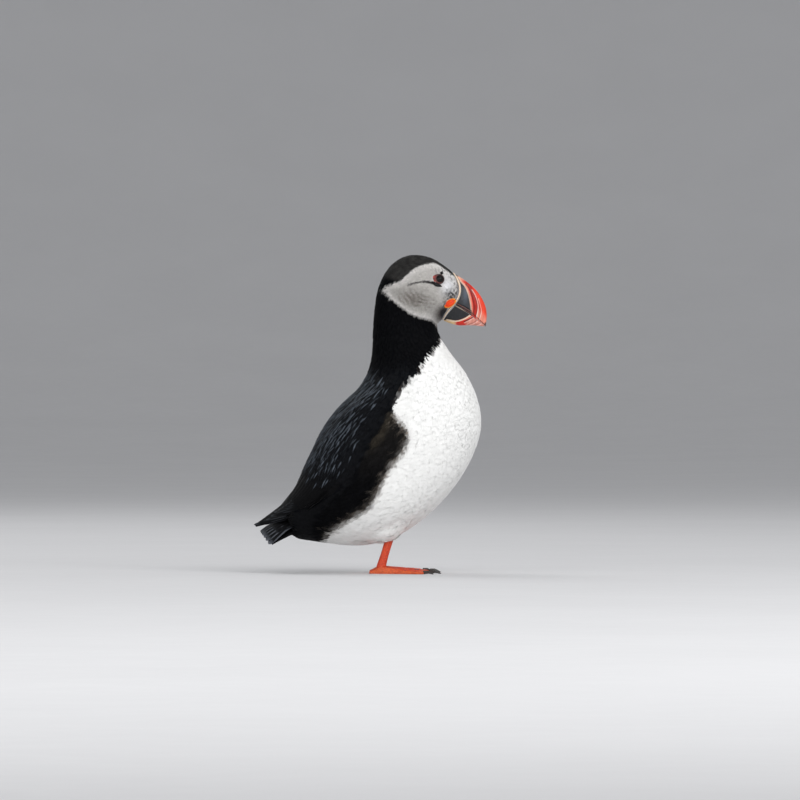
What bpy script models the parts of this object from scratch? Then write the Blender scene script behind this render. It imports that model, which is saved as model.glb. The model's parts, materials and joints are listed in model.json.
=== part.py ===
"""An Atlantic puffin at life size, standing still with its head raised.

The bird looks along +X, its right side is towards -Y and +Z is up. The floor is Z = 0, and the origin lies
midway along the bird, between the feet. Sizes below are in millimetres and are turned into metres when a
mesh is made. Trunk, neck and head are lengths of one loft, parted by thin flat cuts, and the wings lie on it.
"""

import math

import bmesh
import bpy

MM = 0.001
GAP = 0.3  # left between two pieces that touch
SHARP_ANGLE = math.radians(50)  # edges sharper than this stay creased

# ---- driving dimensions of the feathered body -------------------------------------------------------------
# Sections of the body from the wing tips up to the base of the bill. Each is a line across the body in the
# plane of symmetry: back (x, z), front (x, z), half width across it, and lean, which moves the widest place
# towards the front when it is above 0.
SECTIONS = (
    ("wing_tips", (-91.0, 36.5), (-85.0, 27.0), 7.5, 0.0),
    ("tail_mid", (-78.0, 44.2), (-70.0, 25.5), 12.0, 0.0),
    ("tail_root", (-67.5, 52.0), (-58.0, 26.0), 18.0, 0.0),
    ("rump", (-60.5, 59.7), (-37.0, 23.0), 28.0, 0.0),
    ("vent", (-55.5, 68.5), (-8.0, 20.5), 38.0, 0.05),
    ("legs", (-51.0, 79.0), (18.5, 27.0), 45.5, 0.08),
    ("belly", (-45.0, 91.5), (44.5, 44.5), 50.0, 0.08),
    ("breast_low", (-35.5, 110.5), (69.0, 73.0), 50.5, 0.05),
    ("breast", (-22.5, 127.0), (82.6, 104.0), 48.5, 0.0),
    ("shoulders", (-9.5, 139.0), (81.5, 128.5), 43.0, 0.0),
    ("mantle", (-2.9, 150.5), (72.0, 150.2), 34.5, 0.0),
    ("neck_base", (0.6, 164.0), (62.0, 163.5), 27.0, 0.0),
    ("neck_mid", (1.3, 181.0), (52.6, 177.5), 22.5, 0.0),
    ("neck_top", (2.4, 197.0), (50.2, 184.8), 20.5, 0.0),
    ("nape", (5.2, 214.5), (50.0, 187.6), 20.3, 0.04),
    ("cheeks", (14.0, 231.2), (51.6, 188.9), 20.4, 0.06),
    ("crown", (28.0, 239.6), (52.8, 189.6), 19.5, 0.12),
    ("forehead", (43.8, 238.4), (53.4, 190.0), 16.2, 0.18),
    ("brow", (54.3, 232.4), (53.5, 190.4), 12.4, 0.20),
    ("bill_base", (60.2, 227.8), (53.2, 190.8), 8.4, 0.18),
)
NAMES = [section[0] for section in SECTIONS]
TAIL_ROOT = NAMES.index("tail_root")
COLLAR = NAMES.index("neck_base")
NAPE = NAMES.index("nape") - 0.35
BILL_BASE = len(SECTIONS) - 1

FACE_BOW = 8.6  # the feathers of the face reach this far forward over the bill's side
FACE_BOW_FROM = NAMES.index("crown")  # the sections bow forward from here on

# ---- bill ---------------------------------------------------------------------------------------------------
HORN_TOP = (63.4, 225.6)  # the horn's edge bows forward between these two points
HORN_BOTTOM = (54.8, 190.3)
HORN_BOW = 8.5
CULMEN = (HORN_TOP, (69.9, 221.4), (79.3, 213.7), (85.4, 204.3), (87.8, 194.5), (86.4, 185.4))
GAPE_END = (85.6, 186.8)
JAW_EDGE = (HORN_BOTTOM, (60.5, 187.9), (67.5, 186.4), (76.0, 186.5), (85.0, 185.8))
BILL_HALF_WIDTH = 7.0
BILL_TIP_HALF_WIDTH = 1.5
GAPE_SHARE = 0.61  # how far down the face's edge the corner of the gape lies
JAW_STEPS = 9  # points down each jaw's side

# ---- eye and rosette -----------------------------------------------------------------------------------------
EYE_PLACE = (51.8, 221.5)
EYE_RADIUS = 3.7
EYE_STANDS_OUT = 1.5
ROSETTE_PLACE = (59.5, 203.2)
ROSETTE_RADII = (4.9, 2.2, 2.6)
ROSETTE_TILT = math.radians(32)

# ---- wings and tail ------------------------------------------------------------------------------------------
# Rows of the folded wing: section, angle of its upper edge and of its lower edge round the body, in degrees
# from the back, thickness halfway down the row.
WING_ROWS = (
    ("shoulders", 0.30, 46.0, 68.0, 1.4),
    ("shoulders", -0.05, 37.0, 73.0, 3.2),
    ("breast", 0.0, 29.0, 72.5, 4.4),
    ("breast_low", 0.0, 23.0, 72.0, 4.8),
    ("belly", 0.0, 17.0, 73.0, 4.6),
    ("legs", 0.0, 13.0, 72.0, 4.2),
    ("vent", 0.0, 12.0, 68.0, 3.8),
    ("rump", 0.0, 13.0, 66.0, 3.2),
    ("tail_root", 0.0, 15.0, 70.0, 2.6),
    ("tail_mid", 0.0, 20.0, 74.0, 1.9),
    ("wing_tips", 0.19, 42.0, 66.0, 1.2),
)
WING_EDGE = 0.8  # thickness along the wing's rim
WING_OUTSIDE = 0.42  # share of the wing's thickness that stands out of the body's loft
SECTION_STEP = 16.0  # about the distance between two sections along the wing

TAIL_BASE = (-52.0, 36.0)
TAIL_BASE_HALF_WIDTH = 11.5
TAIL_TIP = (-83.0, 31.0)
TAIL_TIP_HALF_WIDTH = 20.0
TAIL_DROOP = 9.0  # its outer feathers lie this much lower than the middle ones
TAIL_ROUNDING = 9.0  # and end this much sooner
TAIL_THICK_BASE = 8.0
TAIL_THICK_TIP = 1.6

# ---- legs and feet -------------------------------------------------------------------------------------------
LEG_SPREAD = 21.0  # from the plane of symmetry to a shank's middle
SHANK_TOP = (15.0, 29.0)
SHANK_BOTTOM = (7.5, 3.9)
SHANK_RADII = (3.1, 2.2)  # along X and along Y
THIGH_PLACE = (8.0, 38.0)
THIGH_RADII = (19.0, 13.5, 15.5)
HEEL_X = 4.0
TOES = (  # name, angle outwards from straight ahead in degrees, length from the heel
    ("inner", -27.0, 33.0),
    ("middle", 0.0, 41.5),
    ("outer", 23.0, 39.5),
)
TOE_HALF_WIDTH = 2.3
TOE_HEIGHTS = (5.2, 2.9)  # near the heel and near the claw
WEB_HEIGHT = 1.3
WEB_NOTCH = 5.0  # the web's front edge curves back this far between two toes
CLAW_LENGTH = 6.6
CLAW_RADIUS = 1.25

COLOURS = {  # linear colour, roughness
    "black_feathers": ((0.012, 0.012, 0.014), 0.75),
    "grey_white_feathers": ((0.55, 0.54, 0.53), 0.80),
    "flight_feathers": ((0.018, 0.016, 0.016), 0.60),
    "white_feathers": ((0.80, 0.80, 0.79), 0.80),
    "cream_horn": ((0.75, 0.60, 0.42), 0.45),
    "red_horn": ((0.75, 0.10, 0.045), 0.35),
    "orange_skin": ((0.90, 0.16, 0.01), 0.45),
    "dark_eye": ((0.010, 0.009, 0.010), 0.08),
    "leg_skin": ((0.80, 0.13, 0.03), 0.50),
    "black_horn": ((0.02, 0.018, 0.016), 0.40),
}


# ---- helpers -------------------------------------------------------------------------------------------------
def clear_scene():
    for old in list(bpy.data.objects):
        bpy.data.objects.remove(old, do_unlink=True)


def material(name):
    found = bpy.data.materials.get(name)
    if found:
        return found
    colour, roughness = COLOURS[name]
    made = bpy.data.materials.new(name)
    made.use_nodes = True
    shader = made.node_tree.nodes["Principled BSDF"]
    shader.inputs["Base Color"].default_value = (*colour, 1.0)
    shader.inputs["Roughness"].default_value = roughness
    shader.inputs["Metallic"].default_value = 0.0
    return made


def blend(a, b, share):
    return a + (b - a) * share


def blend_points(a, b, share):
    return tuple(blend(p, q, share) for p, q in zip(a, b))


def smooth_step(x):
    x = min(max(x, 0.0), 1.0)
    return x * x * (3.0 - 2.0 * x)


def through(values, place):
    """The Catmull-Rom curve through the rows of values, read at a row number that may fall between two rows."""
    last = len(values) - 1
    i = min(max(int(math.floor(place)), 0), last - 1)
    t = place - i
    p1, p2 = values[i], values[i + 1]
    p0 = values[i - 1] if i > 0 else tuple(2 * a - b for a, b in zip(p1, p2))
    p3 = values[i + 2] if i + 2 <= last else tuple(2 * b - a for a, b in zip(p1, p2))
    return tuple(
        0.5 * (2 * b + (c - a) * t + (2 * a - 5 * b + 4 * c - d) * t * t + (3 * b - a - 3 * c + d) * t ** 3)
        for a, b, c, d in zip(p0, p1, p2, p3)
    )


def finished(name, form, look):
    """The object of a closed bmesh: faces turned outwards, round faces smooth, material on."""
    bmesh.ops.recalc_face_normals(form, faces=form.faces)
    mesh = bpy.data.meshes.new(name)
    form.to_mesh(mesh)
    form.free()
    mesh.shade_smooth()
    mesh.set_sharp_from_angle(angle=SHARP_ANGLE)
    made = bpy.data.objects.new(name, mesh)
    bpy.context.scene.collection.objects.link(made)
    if look:
        mesh.materials.append(material(look))
    return made


def mesh_object(name, points, faces, look):
    """A closed mesh from points in millimetres; a face that names a point twice in a row drops one."""
    form = bmesh.new()
    corners = [form.verts.new([c * MM for c in p]) for p in points]
    for face in faces:
        kept = [k for n, k in enumerate(face) if k != face[n - 1]]
        if len(kept) > 2:
            form.faces.new([corners[k] for k in kept])
    return finished(name, form, look)


def ladder(ring):
    """Faces that close a ring, whose point i mirrors point len - i, with rungs from side to side."""
    n = len(ring)
    return [(ring[i], ring[i + 1], ring[(n - i - 1) % n], ring[(n - i) % n]) for i in range(n // 2)]


def loft(name, rings, look):
    """Joins equal rings, each symmetric as ladder wants it, into one closed body."""
    n = len(rings[0])
    points = [p for ring in rings for p in ring]
    faces = []
    for r in range(len(rings) - 1):
        for i in range(n):
            j = (i + 1) % n
            faces.append((r * n + i, r * n + j, (r + 1) * n + j, (r + 1) * n + i))
    faces += ladder(list(range(n)))
    faces += ladder(list(range((len(rings) - 1) * n, len(rings) * n)))
    return mesh_object(name, points, faces, look)


def sheet(name, outer, inner, look):
    """A closed body between two equal grids of points."""
    rows, columns = len(outer), len(outer[0])
    points = [p for row in outer for p in row] + [p for row in inner for p in row]
    shift = rows * columns
    faces = []
    for r in range(rows - 1):
        for c in range(columns - 1):
            a, b = r * columns + c, (r + 1) * columns + c
            faces.append((a, a + 1, b + 1, b))
            faces.append((shift + b, shift + b + 1, shift + a + 1, shift + a))
    rim = list(range(columns))
    rim += [r * columns + columns - 1 for r in range(1, rows)]
    rim += [(rows - 1) * columns + c for c in range(columns - 2, -1, -1)]
    rim += [r * columns for r in range(rows - 2, 0, -1)]
    for n, a in enumerate(rim):
        b = rim[(n + 1) % len(rim)]
        faces.append((a, b, shift + b, shift + a))
    return mesh_object(name, points, faces, look)


def ellipsoid(name, centre, radii, tilt, look, around=14, tall=8):
    """An ellipsoid whose long axis, along X, is tilted up by an angle about Y."""
    form = bmesh.new()
    bmesh.ops.create_uvsphere(form, u_segments=around, v_segments=tall, radius=MM)
    bmesh.ops.scale(form, vec=radii, verts=form.verts)
    made = finished(name, form, look)
    made.location = [c * MM for c in centre]
    made.rotation_euler = (0.0, -tilt, 0.0)
    return made


def boolean(target, tool, operation="DIFFERENCE"):
    """Cuts a tool from the target or joins it on; the tool is a guide and no part of the bird."""
    tool.hide_render = True
    tool.display_type = "WIRE"
    step = target.modifiers.new(operation.lower() + "_" + tool.name, "BOOLEAN")
    step.operation = operation
    step.object = tool
    step.solver = "EXACT"


# ---- the body's loft -----------------------------------------------------------------------------------------
def section_at(place):
    """A section's back point, front point, half width and lean at a section number, which may be a fraction."""
    flat = [(*back, *front, half, lean) for _, back, front, half, lean in SECTIONS]
    bx, bz, fx, fz, half, lean = through(flat, place)
    return (bx, bz), (fx, fz), half, lean


def bow(share):
    """The shape of the edge where feathers meet horn: 0 at both ends, about 1 a third of the way down."""
    share = min(max(share, 0.0), 1.0)
    return math.sin(math.pi * share ** 0.8) * (1.0 - 0.72 * share ** 3)


def bowed(back, front, share, reach, out=0.0):
    """A point down the line from back to front, pushed forward by the bow; out lengthens the line."""
    depth = math.dist(back, front)
    down = ((front[0] - back[0]) / depth, (front[1] - back[1]) / depth)
    along = share * depth + out
    ahead = reach * bow(share)
    return (back[0] + down[0] * along - down[1] * ahead, back[1] + down[1] * along + down[0] * ahead)


def body_point(place, angle, out=0.0):
    """A point on the loft: place is a section number, angle runs from the back (0) by the right side to the
    front (pi) and by the left side to the back again, out is a distance outwards from the loft."""
    back, front, half, lean = section_at(place)
    forward = smooth_step((place - FACE_BOW_FROM) / (BILL_BASE - FACE_BOW_FROM)) ** 1.5
    share = (1.0 - math.cos(angle)) / 2.0
    x, z = bowed(back, front, share, FACE_BOW * forward, -out * math.cos(angle))
    wide = half * abs(math.sin(angle)) ** 0.88 * (1.0 - lean * math.cos(angle))
    y = (wide + out * abs(math.sin(angle))) * (-1.0 if angle < math.pi else 1.0)
    return (x, y, z)


def head_side(x, z):
    """How far the head's side stands from the plane of symmetry at a place in the side view."""
    best = (COLLAR, BILL_BASE, 0.05, math.pi - 0.05)
    for _ in range(5):
        places = [blend(best[0], best[1], n / 24) for n in range(25)]
        angles = [blend(best[2], best[3], n / 24) for n in range(25)]
        near = min(
            (math.dist((x, z), body_point(place, angle)[::2]), place, angle) for place in places for angle in angles
        )
        reach_place = (best[1] - best[0]) / 12
        reach_angle = (best[3] - best[2]) / 12
        top_place = min(near[1] + reach_place, BILL_BASE)
        best = (near[1] - reach_place, top_place, near[2] - reach_angle, near[2] + reach_angle)
    return abs(body_point(near[1], near[2])[1])


def body_length(name, first, last, rings, around, look, first_gap=0.0, last_gap=0.0):
    """The loft between two sections, its ends drawn in by half a gap where another length follows."""
    made = []
    for r in range(rings + 1):
        place = blend(first, last, r / rings)
        made.append([body_point(place, 2 * math.pi * i / around) for i in range(around)])
    for ring, place, gap in ((made[0], first, first_gap), (made[-1], last, -last_gap)):
        back, front, _, _ = section_at(place)
        depth = math.dist(back, front)
        ahead = (-(front[1] - back[1]) / depth, (front[0] - back[0]) / depth)
        for i, (x, y, z) in enumerate(ring):
            ring[i] = (x + ahead[0] * gap, y, z + ahead[1] * gap)
    return loft(name, made, look)


# ---- wings ---------------------------------------------------------------------------------------------------
def wing(name, side, look, grow=0.0, rows=20, columns=7):
    """The folded wing as a shell lying on the body's loft; grow makes the slightly larger cutter."""
    table = [(NAMES.index(section) + ahead, top, low, thick) for section, ahead, top, low, thick in WING_ROWS]
    outer, inner = [], []
    for r in range(rows + 1):
        place, top, low, thick = through(table, (len(table) - 1) * r / rows)
        _, _, half, _ = section_at(place)
        wider = math.degrees(grow / half)
        place += grow / SECTION_STEP * (1.0 - 2.0 * r / rows)
        outer_row, inner_row = [], []
        for c in range(columns + 1):
            share = c / columns
            angle = math.radians(blend(top - wider, low + wider, share))
            if side > 0:
                angle = 2 * math.pi - angle
            full = WING_EDGE + (thick - WING_EDGE) * math.sqrt(4.0 * share * (1.0 - share))
            outer_row.append(body_point(place, angle, full * WING_OUTSIDE + grow))
            inner_row.append(body_point(place, angle, -full * (1.0 - WING_OUTSIDE) - grow))
        outer.append(outer_row)
        inner.append(inner_row)
    return sheet(name, outer, inner, look)


# ---- tail ----------------------------------------------------------------------------------------------------
def tail(name, look, grow=0.0, rows=5, columns=12):
    """The tail's feathers as one drooping fan; grow makes the slightly larger cutter for its root."""
    outer, inner = [], []
    for r in range(rows + 1):
        along = r / rows
        outer_row, inner_row = [], []
        for c in range(columns + 1):
            across = 2.0 * c / columns - 1.0
            end_x = TAIL_TIP[0] + TAIL_ROUNDING * across ** 2
            end_z = TAIL_TIP[1] - TAIL_DROOP * across ** 2
            x = blend(TAIL_BASE[0] + grow, end_x, along)
            z = blend(TAIL_BASE[1] - 0.25 * TAIL_DROOP * across ** 2, end_z, along)
            y = across * (blend(TAIL_BASE_HALF_WIDTH, TAIL_TIP_HALF_WIDTH, along ** 0.8) + grow)
            rounded = 0.35 + 0.65 * math.sqrt(1.0 - across ** 2)
            thick = blend(TAIL_THICK_BASE * rounded, TAIL_THICK_TIP, min(1.0, along * 1.6) ** 0.8)
            outer_row.append((x, y, z + thick / 2 + grow))
            inner_row.append((x, y, z - thick / 2 - grow))
        outer.append(outer_row)
        inner.append(inner_row)
    return sheet(name, outer, inner, look)


# ---- bill ----------------------------------------------------------------------------------------------------
def face_edge(share):
    """Where the face's feathers end: a point in the plane of symmetry, share 0 on top, 1 underneath."""
    back, front, _, _ = section_at(BILL_BASE)
    return bowed(back, front, share, FACE_BOW)


def horn_edge(share):
    """Where the two jaws' horn begins, a little in front of the face's edge."""
    return bowed(HORN_TOP, HORN_BOTTOM, share, HORN_BOW)


def base_half_width(share):
    """Half the bill's width along the horn's edge: a rounded ridge above, widest at the gape, a keel below."""
    if share < GAPE_SHARE:
        return BILL_HALF_WIDTH * (1.0 - (1.0 - share / GAPE_SHARE) ** 2.2) ** 0.55
    return BILL_HALF_WIDTH * (1.0 - ((share - GAPE_SHARE) / (1.0 - GAPE_SHARE)) ** 2.4) ** 0.5


def cere(name, look):
    """The raised band between feathers and horn, narrow on the lower jaw."""
    shares = [GAPE_SHARE * i / JAW_STEPS for i in range(JAW_STEPS)]
    shares += [blend(GAPE_SHARE, 1.0, i / JAW_STEPS) for i in range(JAW_STEPS + 1)]
    steps = len(shares) - 1
    rings = []
    for across, swell in ((0.0, 0.1), (0.25, 0.5), (0.75, 0.5), (1.0, 0.0)):
        ring = []
        for i in range(2 * steps):
            share = shares[min(i, 2 * steps - i)]
            behind, before = face_edge(share), horn_edge(share)
            gap_share = 1.3 * GAP / math.dist(behind, before)
            x, z = blend_points(behind, before, blend(gap_share, 1.0 - gap_share, across))
            z += swell * (1.0 - 2.0 * share)
            wide = base_half_width(share) + swell if i not in (0, steps) else 0.0
            ring.append((x, wide * (-1.0 if i <= steps else 1.0), z))
        rings.append(ring)
    return loft(name, rings, look)


def jaw(name, look, ridge, gape, ridge_share, rows=9):
    """One half of the bill. ridge and gape give its two edges in the side view, from the base to the tip, and
    ridge_share says whether the ridge starts at the top (0) or the bottom (1) of the horn's edge."""
    rings = []
    for r in range(rows + 1):
        along = r / rows
        keel = through(ridge, along * (len(ridge) - 1))
        lip = through(gape, along * (len(gape) - 1))
        narrow = blend(1.0, BILL_TIP_HALF_WIDTH / BILL_HALF_WIDTH, along ** 0.85)
        bend = (1.0 - along) ** 1.6
        right = []
        for i in range(JAW_STEPS + 1):
            across = i / JAW_STEPS
            share = blend(ridge_share, GAPE_SHARE, across)
            edge = horn_edge(share)
            straight = blend_points(horn_edge(ridge_share), horn_edge(GAPE_SHARE), across)
            x = blend(keel[0], lip[0], across) + (edge[0] - straight[0]) * bend
            z = blend(keel[1], lip[1], across) + (edge[1] - straight[1]) * bend
            right.append((x, -base_half_width(share) * narrow, z))
        left = [(x, -y, z) for x, y, z in right[:0:-1]]
        rings.append(right + left)
    return loft(name, rings, look)


# ---- legs and feet -------------------------------------------------------------------------------------------
def shank(name, side, look, grow=0.0, around=10, rows=5):
    rings = []
    for r in range(rows + 1):
        share = r / rows
        lengthen = {0: grow, rows: -grow}.get(r, 0.0)
        x, z = blend_points(SHANK_TOP, SHANK_BOTTOM, share)
        swell = 1.0 + 0.22 * smooth_step((share - 0.65) / 0.35) + 0.18 * (1.0 - smooth_step(share / 0.3))
        ring = []
        for i in range(around):
            turn = 2 * math.pi * i / around
            px = x + (SHANK_RADII[0] * swell + grow) * math.cos(turn)
            py = side * LEG_SPREAD + (SHANK_RADII[1] * swell + grow) * math.sin(turn)
            ring.append((px, py, z + lengthen))
        rings.append(ring)
    return loft(name, rings, look)


def toe_point(side, angle, distance):
    turn = math.radians(angle)
    return (HEEL_X + distance * math.cos(turn), side * (LEG_SPREAD + distance * math.sin(turn)))


def web_reach(angle):
    """How far from the heel the foot's front edge lies in a direction: toe tips with a curve between them."""
    angles = [toe[1] for toe in TOES]
    lengths = [toe[2] for toe in TOES]
    angle = min(max(angle, angles[0]), angles[-1])
    for k in range(len(TOES) - 1):
        if angle <= angles[k + 1]:
            share = (angle - angles[k]) / (angles[k + 1] - angles[k])
            return blend(lengths[k], lengths[k + 1], share) - WEB_NOTCH * math.sin(math.pi * share) ** 0.6
    return lengths[-1]


def foot(name, side, look, rows=6, columns=20):
    """Three toes on one web with a flat sole, and a small heel where the shank stands."""
    first, last = TOES[0][1] - 6.0, TOES[-1][1] + 6.0
    top, sole = [], []
    for r in range(rows + 1):
        along = r / rows
        top_row, sole_row = [], []
        for c in range(columns + 1):
            angle = blend(first, last, c / columns)
            reach = web_reach(angle)
            distance = blend(0.0, reach, along)
            behind = 5.0 * (1.0 - along) ** 3
            x, y = toe_point(side, angle, distance)
            x -= behind
            y += side * (c / columns - 0.5) * 2.0 * blend(3.2, 0.4, smooth_step(along * 1.5))
            height = WEB_HEIGHT
            for _, toe_angle, length in TOES:
                off = distance * math.sin(math.radians(angle - toe_angle)) / TOE_HALF_WIDTH
                toe_height = blend(*TOE_HEIGHTS, smooth_step(distance / length))
                height = max(height, WEB_HEIGHT + (toe_height - WEB_HEIGHT) * math.exp(-(off ** 2) * 1.2))
            if r in (0, rows) or c in (0, columns):
                height = min(height, 1.6)
            top_row.append((x, y, height))
            sole_row.append((x, y, 0.0))
        top.append(top_row)
        sole.append(sole_row)
    return sheet(name, top, sole, look)


def claw(name, side, toe, look, rings=4, around=6):
    """A curved claw in front of a toe, its underside on the floor."""
    _, angle, length = toe
    turn = math.radians(angle)
    ahead = (math.cos(turn), side * math.sin(turn))
    made = []
    for r in range(rings):
        share = r / (rings - 1)
        x, y = toe_point(side, angle, length + GAP + 0.2 + CLAW_LENGTH * share)
        radius = CLAW_RADIUS * (1.0 - 0.85 * share)
        centre = radius + 1.3 * math.sin(math.pi * (0.12 + 0.88 * share)) * (1.0 - 0.3 * share)
        centre = max(centre - 0.3, radius)
        ring = []
        for i in range(around):
            spin = 2 * math.pi * i / around
            out = radius * 0.8 * math.sin(spin)
            ring.append((x - ahead[1] * out, y + ahead[0] * out, centre + radius * math.cos(spin)))
        made.append(ring)
    return loft(name, made, look)


# ---- the bird ------------------------------------------------------------------------------------------------
def build():
    clear_scene()
    bird = bpy.data.objects.new("puffin", None)
    bpy.context.scene.collection.objects.link(bird)

    trunk = body_length("trunk", TAIL_ROOT + 0.1, COLLAR, 22, 32, "white_feathers", 0.0, GAP / 2)
    body_length("neck", COLLAR, NAPE, 6, 28, "black_feathers", GAP / 2, GAP / 2)
    head = body_length("head", NAPE, BILL_BASE, 16, 28, "grey_white_feathers", GAP / 2, 0.0)
    tail("tail", "flight_feathers")
    boolean(trunk, tail("cut_tail", None, grow=GAP))
    band = cere("cere", "cream_horn")

    corner = horn_edge(GAPE_SHARE)
    jaw("bill_upper", "red_horn", CULMEN, (corner, GAPE_END), 0.0)
    lowered = [(x, z - GAP) for x, z in (corner, GAPE_END)]
    lower = jaw("bill_lower", "red_horn", JAW_EDGE, lowered, 1.0)

    for side, word in ((-1.0, "right"), (1.0, "left")):
        eye_y = head_side(*EYE_PLACE) - EYE_RADIUS + EYE_STANDS_OUT
        centre = (EYE_PLACE[0], side * eye_y, EYE_PLACE[1])
        ellipsoid("eye_" + word, centre, (EYE_RADIUS,) * 3, 0.0, "dark_eye")
        socket = (EYE_RADIUS + GAP,) * 3
        boolean(head, ellipsoid("cut_eye_" + word, centre, socket, 0.0, None))

        centre = (ROSETTE_PLACE[0], side * (head_side(*ROSETTE_PLACE) + 0.2), ROSETTE_PLACE[1])
        ellipsoid("rosette_" + word, centre, ROSETTE_RADII, ROSETTE_TILT, "orange_skin", 12, 6)
        grown = tuple(radius + GAP for radius in ROSETTE_RADII)
        bed = ellipsoid("cut_rosette_" + word, centre, grown, ROSETTE_TILT, None, 12, 6)
        for neighbour in (head, band, lower):
            boolean(neighbour, bed)

        wing("wing_" + word, side, "flight_feathers")
        boolean(trunk, wing("cut_wing_" + word, side, None, grow=GAP))

        thigh = (THIGH_PLACE[0], side * LEG_SPREAD, THIGH_PLACE[1])
        boolean(trunk, ellipsoid("guide_thigh_" + word, thigh, THIGH_RADII, 0.0, None), "UNION")
        shank("shank_" + word, side, "leg_skin")
        leg_room = shank("cut_shank_" + word, side, None, grow=GAP)
        boolean(trunk, leg_room)
        boolean(foot("foot_" + word, side, "leg_skin"), leg_room)
        for toe in TOES:
            claw("claw_" + word + "_" + toe[0], side, toe, "black_horn")

    for piece in bpy.context.scene.objects:
        if piece != bird:
            piece.parent = bird


build()
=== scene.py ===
# %% [markdown]
# # An Atlantic puffin, finished as a life-size museum model
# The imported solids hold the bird's real size and outline. These cells dress them: one skin takes the place
# of the solids of flesh, small feathers are modelled once and laid on it by the thousand, and bill, eyes,
# legs and claws are pieces of their own. The bird looks along +X and its right side is towards -Y. Numbers
# in the cells are millimetres unless they say otherwise, and become metres when a mesh is made.

import json
import math

import bpy
import numpy as np
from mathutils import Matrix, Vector
from mathutils.bvhtree import BVHTree
from mathutils.kdtree import KDTree

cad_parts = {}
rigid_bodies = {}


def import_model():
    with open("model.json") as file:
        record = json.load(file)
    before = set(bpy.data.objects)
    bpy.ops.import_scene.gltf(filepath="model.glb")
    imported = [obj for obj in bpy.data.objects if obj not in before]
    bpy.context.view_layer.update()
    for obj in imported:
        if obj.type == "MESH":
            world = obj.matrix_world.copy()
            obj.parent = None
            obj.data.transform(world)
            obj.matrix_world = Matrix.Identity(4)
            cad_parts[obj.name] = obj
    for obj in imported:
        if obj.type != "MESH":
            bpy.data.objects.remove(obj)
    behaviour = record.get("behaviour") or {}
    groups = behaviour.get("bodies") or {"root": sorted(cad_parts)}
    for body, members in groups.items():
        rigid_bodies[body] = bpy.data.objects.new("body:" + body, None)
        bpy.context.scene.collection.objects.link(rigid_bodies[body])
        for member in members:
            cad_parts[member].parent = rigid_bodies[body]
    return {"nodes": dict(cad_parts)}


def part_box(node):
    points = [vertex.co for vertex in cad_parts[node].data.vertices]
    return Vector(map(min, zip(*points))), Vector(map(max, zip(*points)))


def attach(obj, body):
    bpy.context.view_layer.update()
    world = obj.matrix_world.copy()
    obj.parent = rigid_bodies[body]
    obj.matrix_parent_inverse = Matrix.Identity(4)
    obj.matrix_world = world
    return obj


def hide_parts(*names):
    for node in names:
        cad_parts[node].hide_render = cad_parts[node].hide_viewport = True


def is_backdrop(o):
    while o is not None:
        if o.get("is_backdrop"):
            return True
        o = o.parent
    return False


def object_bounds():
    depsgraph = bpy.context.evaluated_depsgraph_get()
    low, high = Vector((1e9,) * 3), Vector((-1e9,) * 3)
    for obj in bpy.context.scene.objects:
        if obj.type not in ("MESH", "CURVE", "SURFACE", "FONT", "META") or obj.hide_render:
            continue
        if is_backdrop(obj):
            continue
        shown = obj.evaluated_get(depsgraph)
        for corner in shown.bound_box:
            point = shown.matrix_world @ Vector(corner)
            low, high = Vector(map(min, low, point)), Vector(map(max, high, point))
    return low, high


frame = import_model()
CAD_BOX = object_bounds()
MM = 0.001
print("solids:", len(frame["nodes"]), "top at", round(CAD_BOX[1].z / MM, 1), "mm")

# %% [markdown]
# ## Camera
# A shy bird is watched from far away through a long lens, which keeps its side almost free of perspective.
# The camera stands level with the middle of its view, so it needs neither tilt nor shift.

# %% Camera on the bird's right side
VIEW_MIDDLE = (22.0, 130.4)  # x and z of what the camera looks at
VIEW_WIDTH = 603.0
CAMERA_AWAY = 5000.0

lens = bpy.data.cameras.new("side_camera")
lens.sensor_width = 36.0
lens.lens = lens.sensor_width * CAMERA_AWAY / VIEW_WIDTH
lens.clip_end = 60.0  # metres, beyond the floor's rim
camera = bpy.data.objects.new("side_camera", lens)
camera.location = (VIEW_MIDDLE[0] * MM, -CAMERA_AWAY * MM, VIEW_MIDDLE[1] * MM)
camera.rotation_euler = (math.radians(90), 0.0, 0.0)
bpy.context.scene.collection.objects.link(camera)
bpy.context.scene.camera = camera
bpy.context.scene.view_settings.view_transform = "Standard"
print("lens:", round(lens.lens, 1), "mm")

# %% [markdown]
# ## Light and floor
# Daylight under thin cloud has no hard edge. A pale world gives light from all round, one broad lamp in
# front of the breast models its roundness, and one behind draws the sheen on the dark back. The floor is a
# wide disc whose rim curls up into a wall, so that the level camera never meets a hard horizon.

# %% Soft studio light
LAMPS = (  # name, place and width in metres, watts
    ("lamp_front", (1.3, -1.9, 1.7), 2.2, 50.0),
    ("lamp_side", (-1.3, -2.2, 0.9), 2.0, 14.0),
    ("lamp_back", (-1.0, 1.6, 2.2), 1.6, 20.0),
)
LAMPS_FACE = (0.01, 0.0, 0.13)
SKY_LIGHT = 0.52
SKY_COLOUR = (0.97, 0.98, 1.0, 1.0)


def soft_lamp(name, place, across, power):
    """A square lamp of a size in metres that faces the middle of the bird."""
    lamp = bpy.data.lights.new(name, "AREA")
    lamp.size = across
    lamp.energy = power
    made = bpy.data.objects.new(name, lamp)
    made.location = place
    made.rotation_euler = (Vector(LAMPS_FACE) - made.location).to_track_quat("-Z", "Y").to_euler()
    bpy.context.scene.collection.objects.link(made)


for settings in LAMPS:
    soft_lamp(*settings)
world = bpy.data.worlds.new("pale_sky")
world.use_nodes = True
sky = world.node_tree.nodes["Background"].inputs
sky["Color"].default_value = SKY_COLOUR
sky["Strength"].default_value = SKY_LIGHT
bpy.context.scene.world = world
print("lamps:", [settings[0] for settings in LAMPS])

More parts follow.
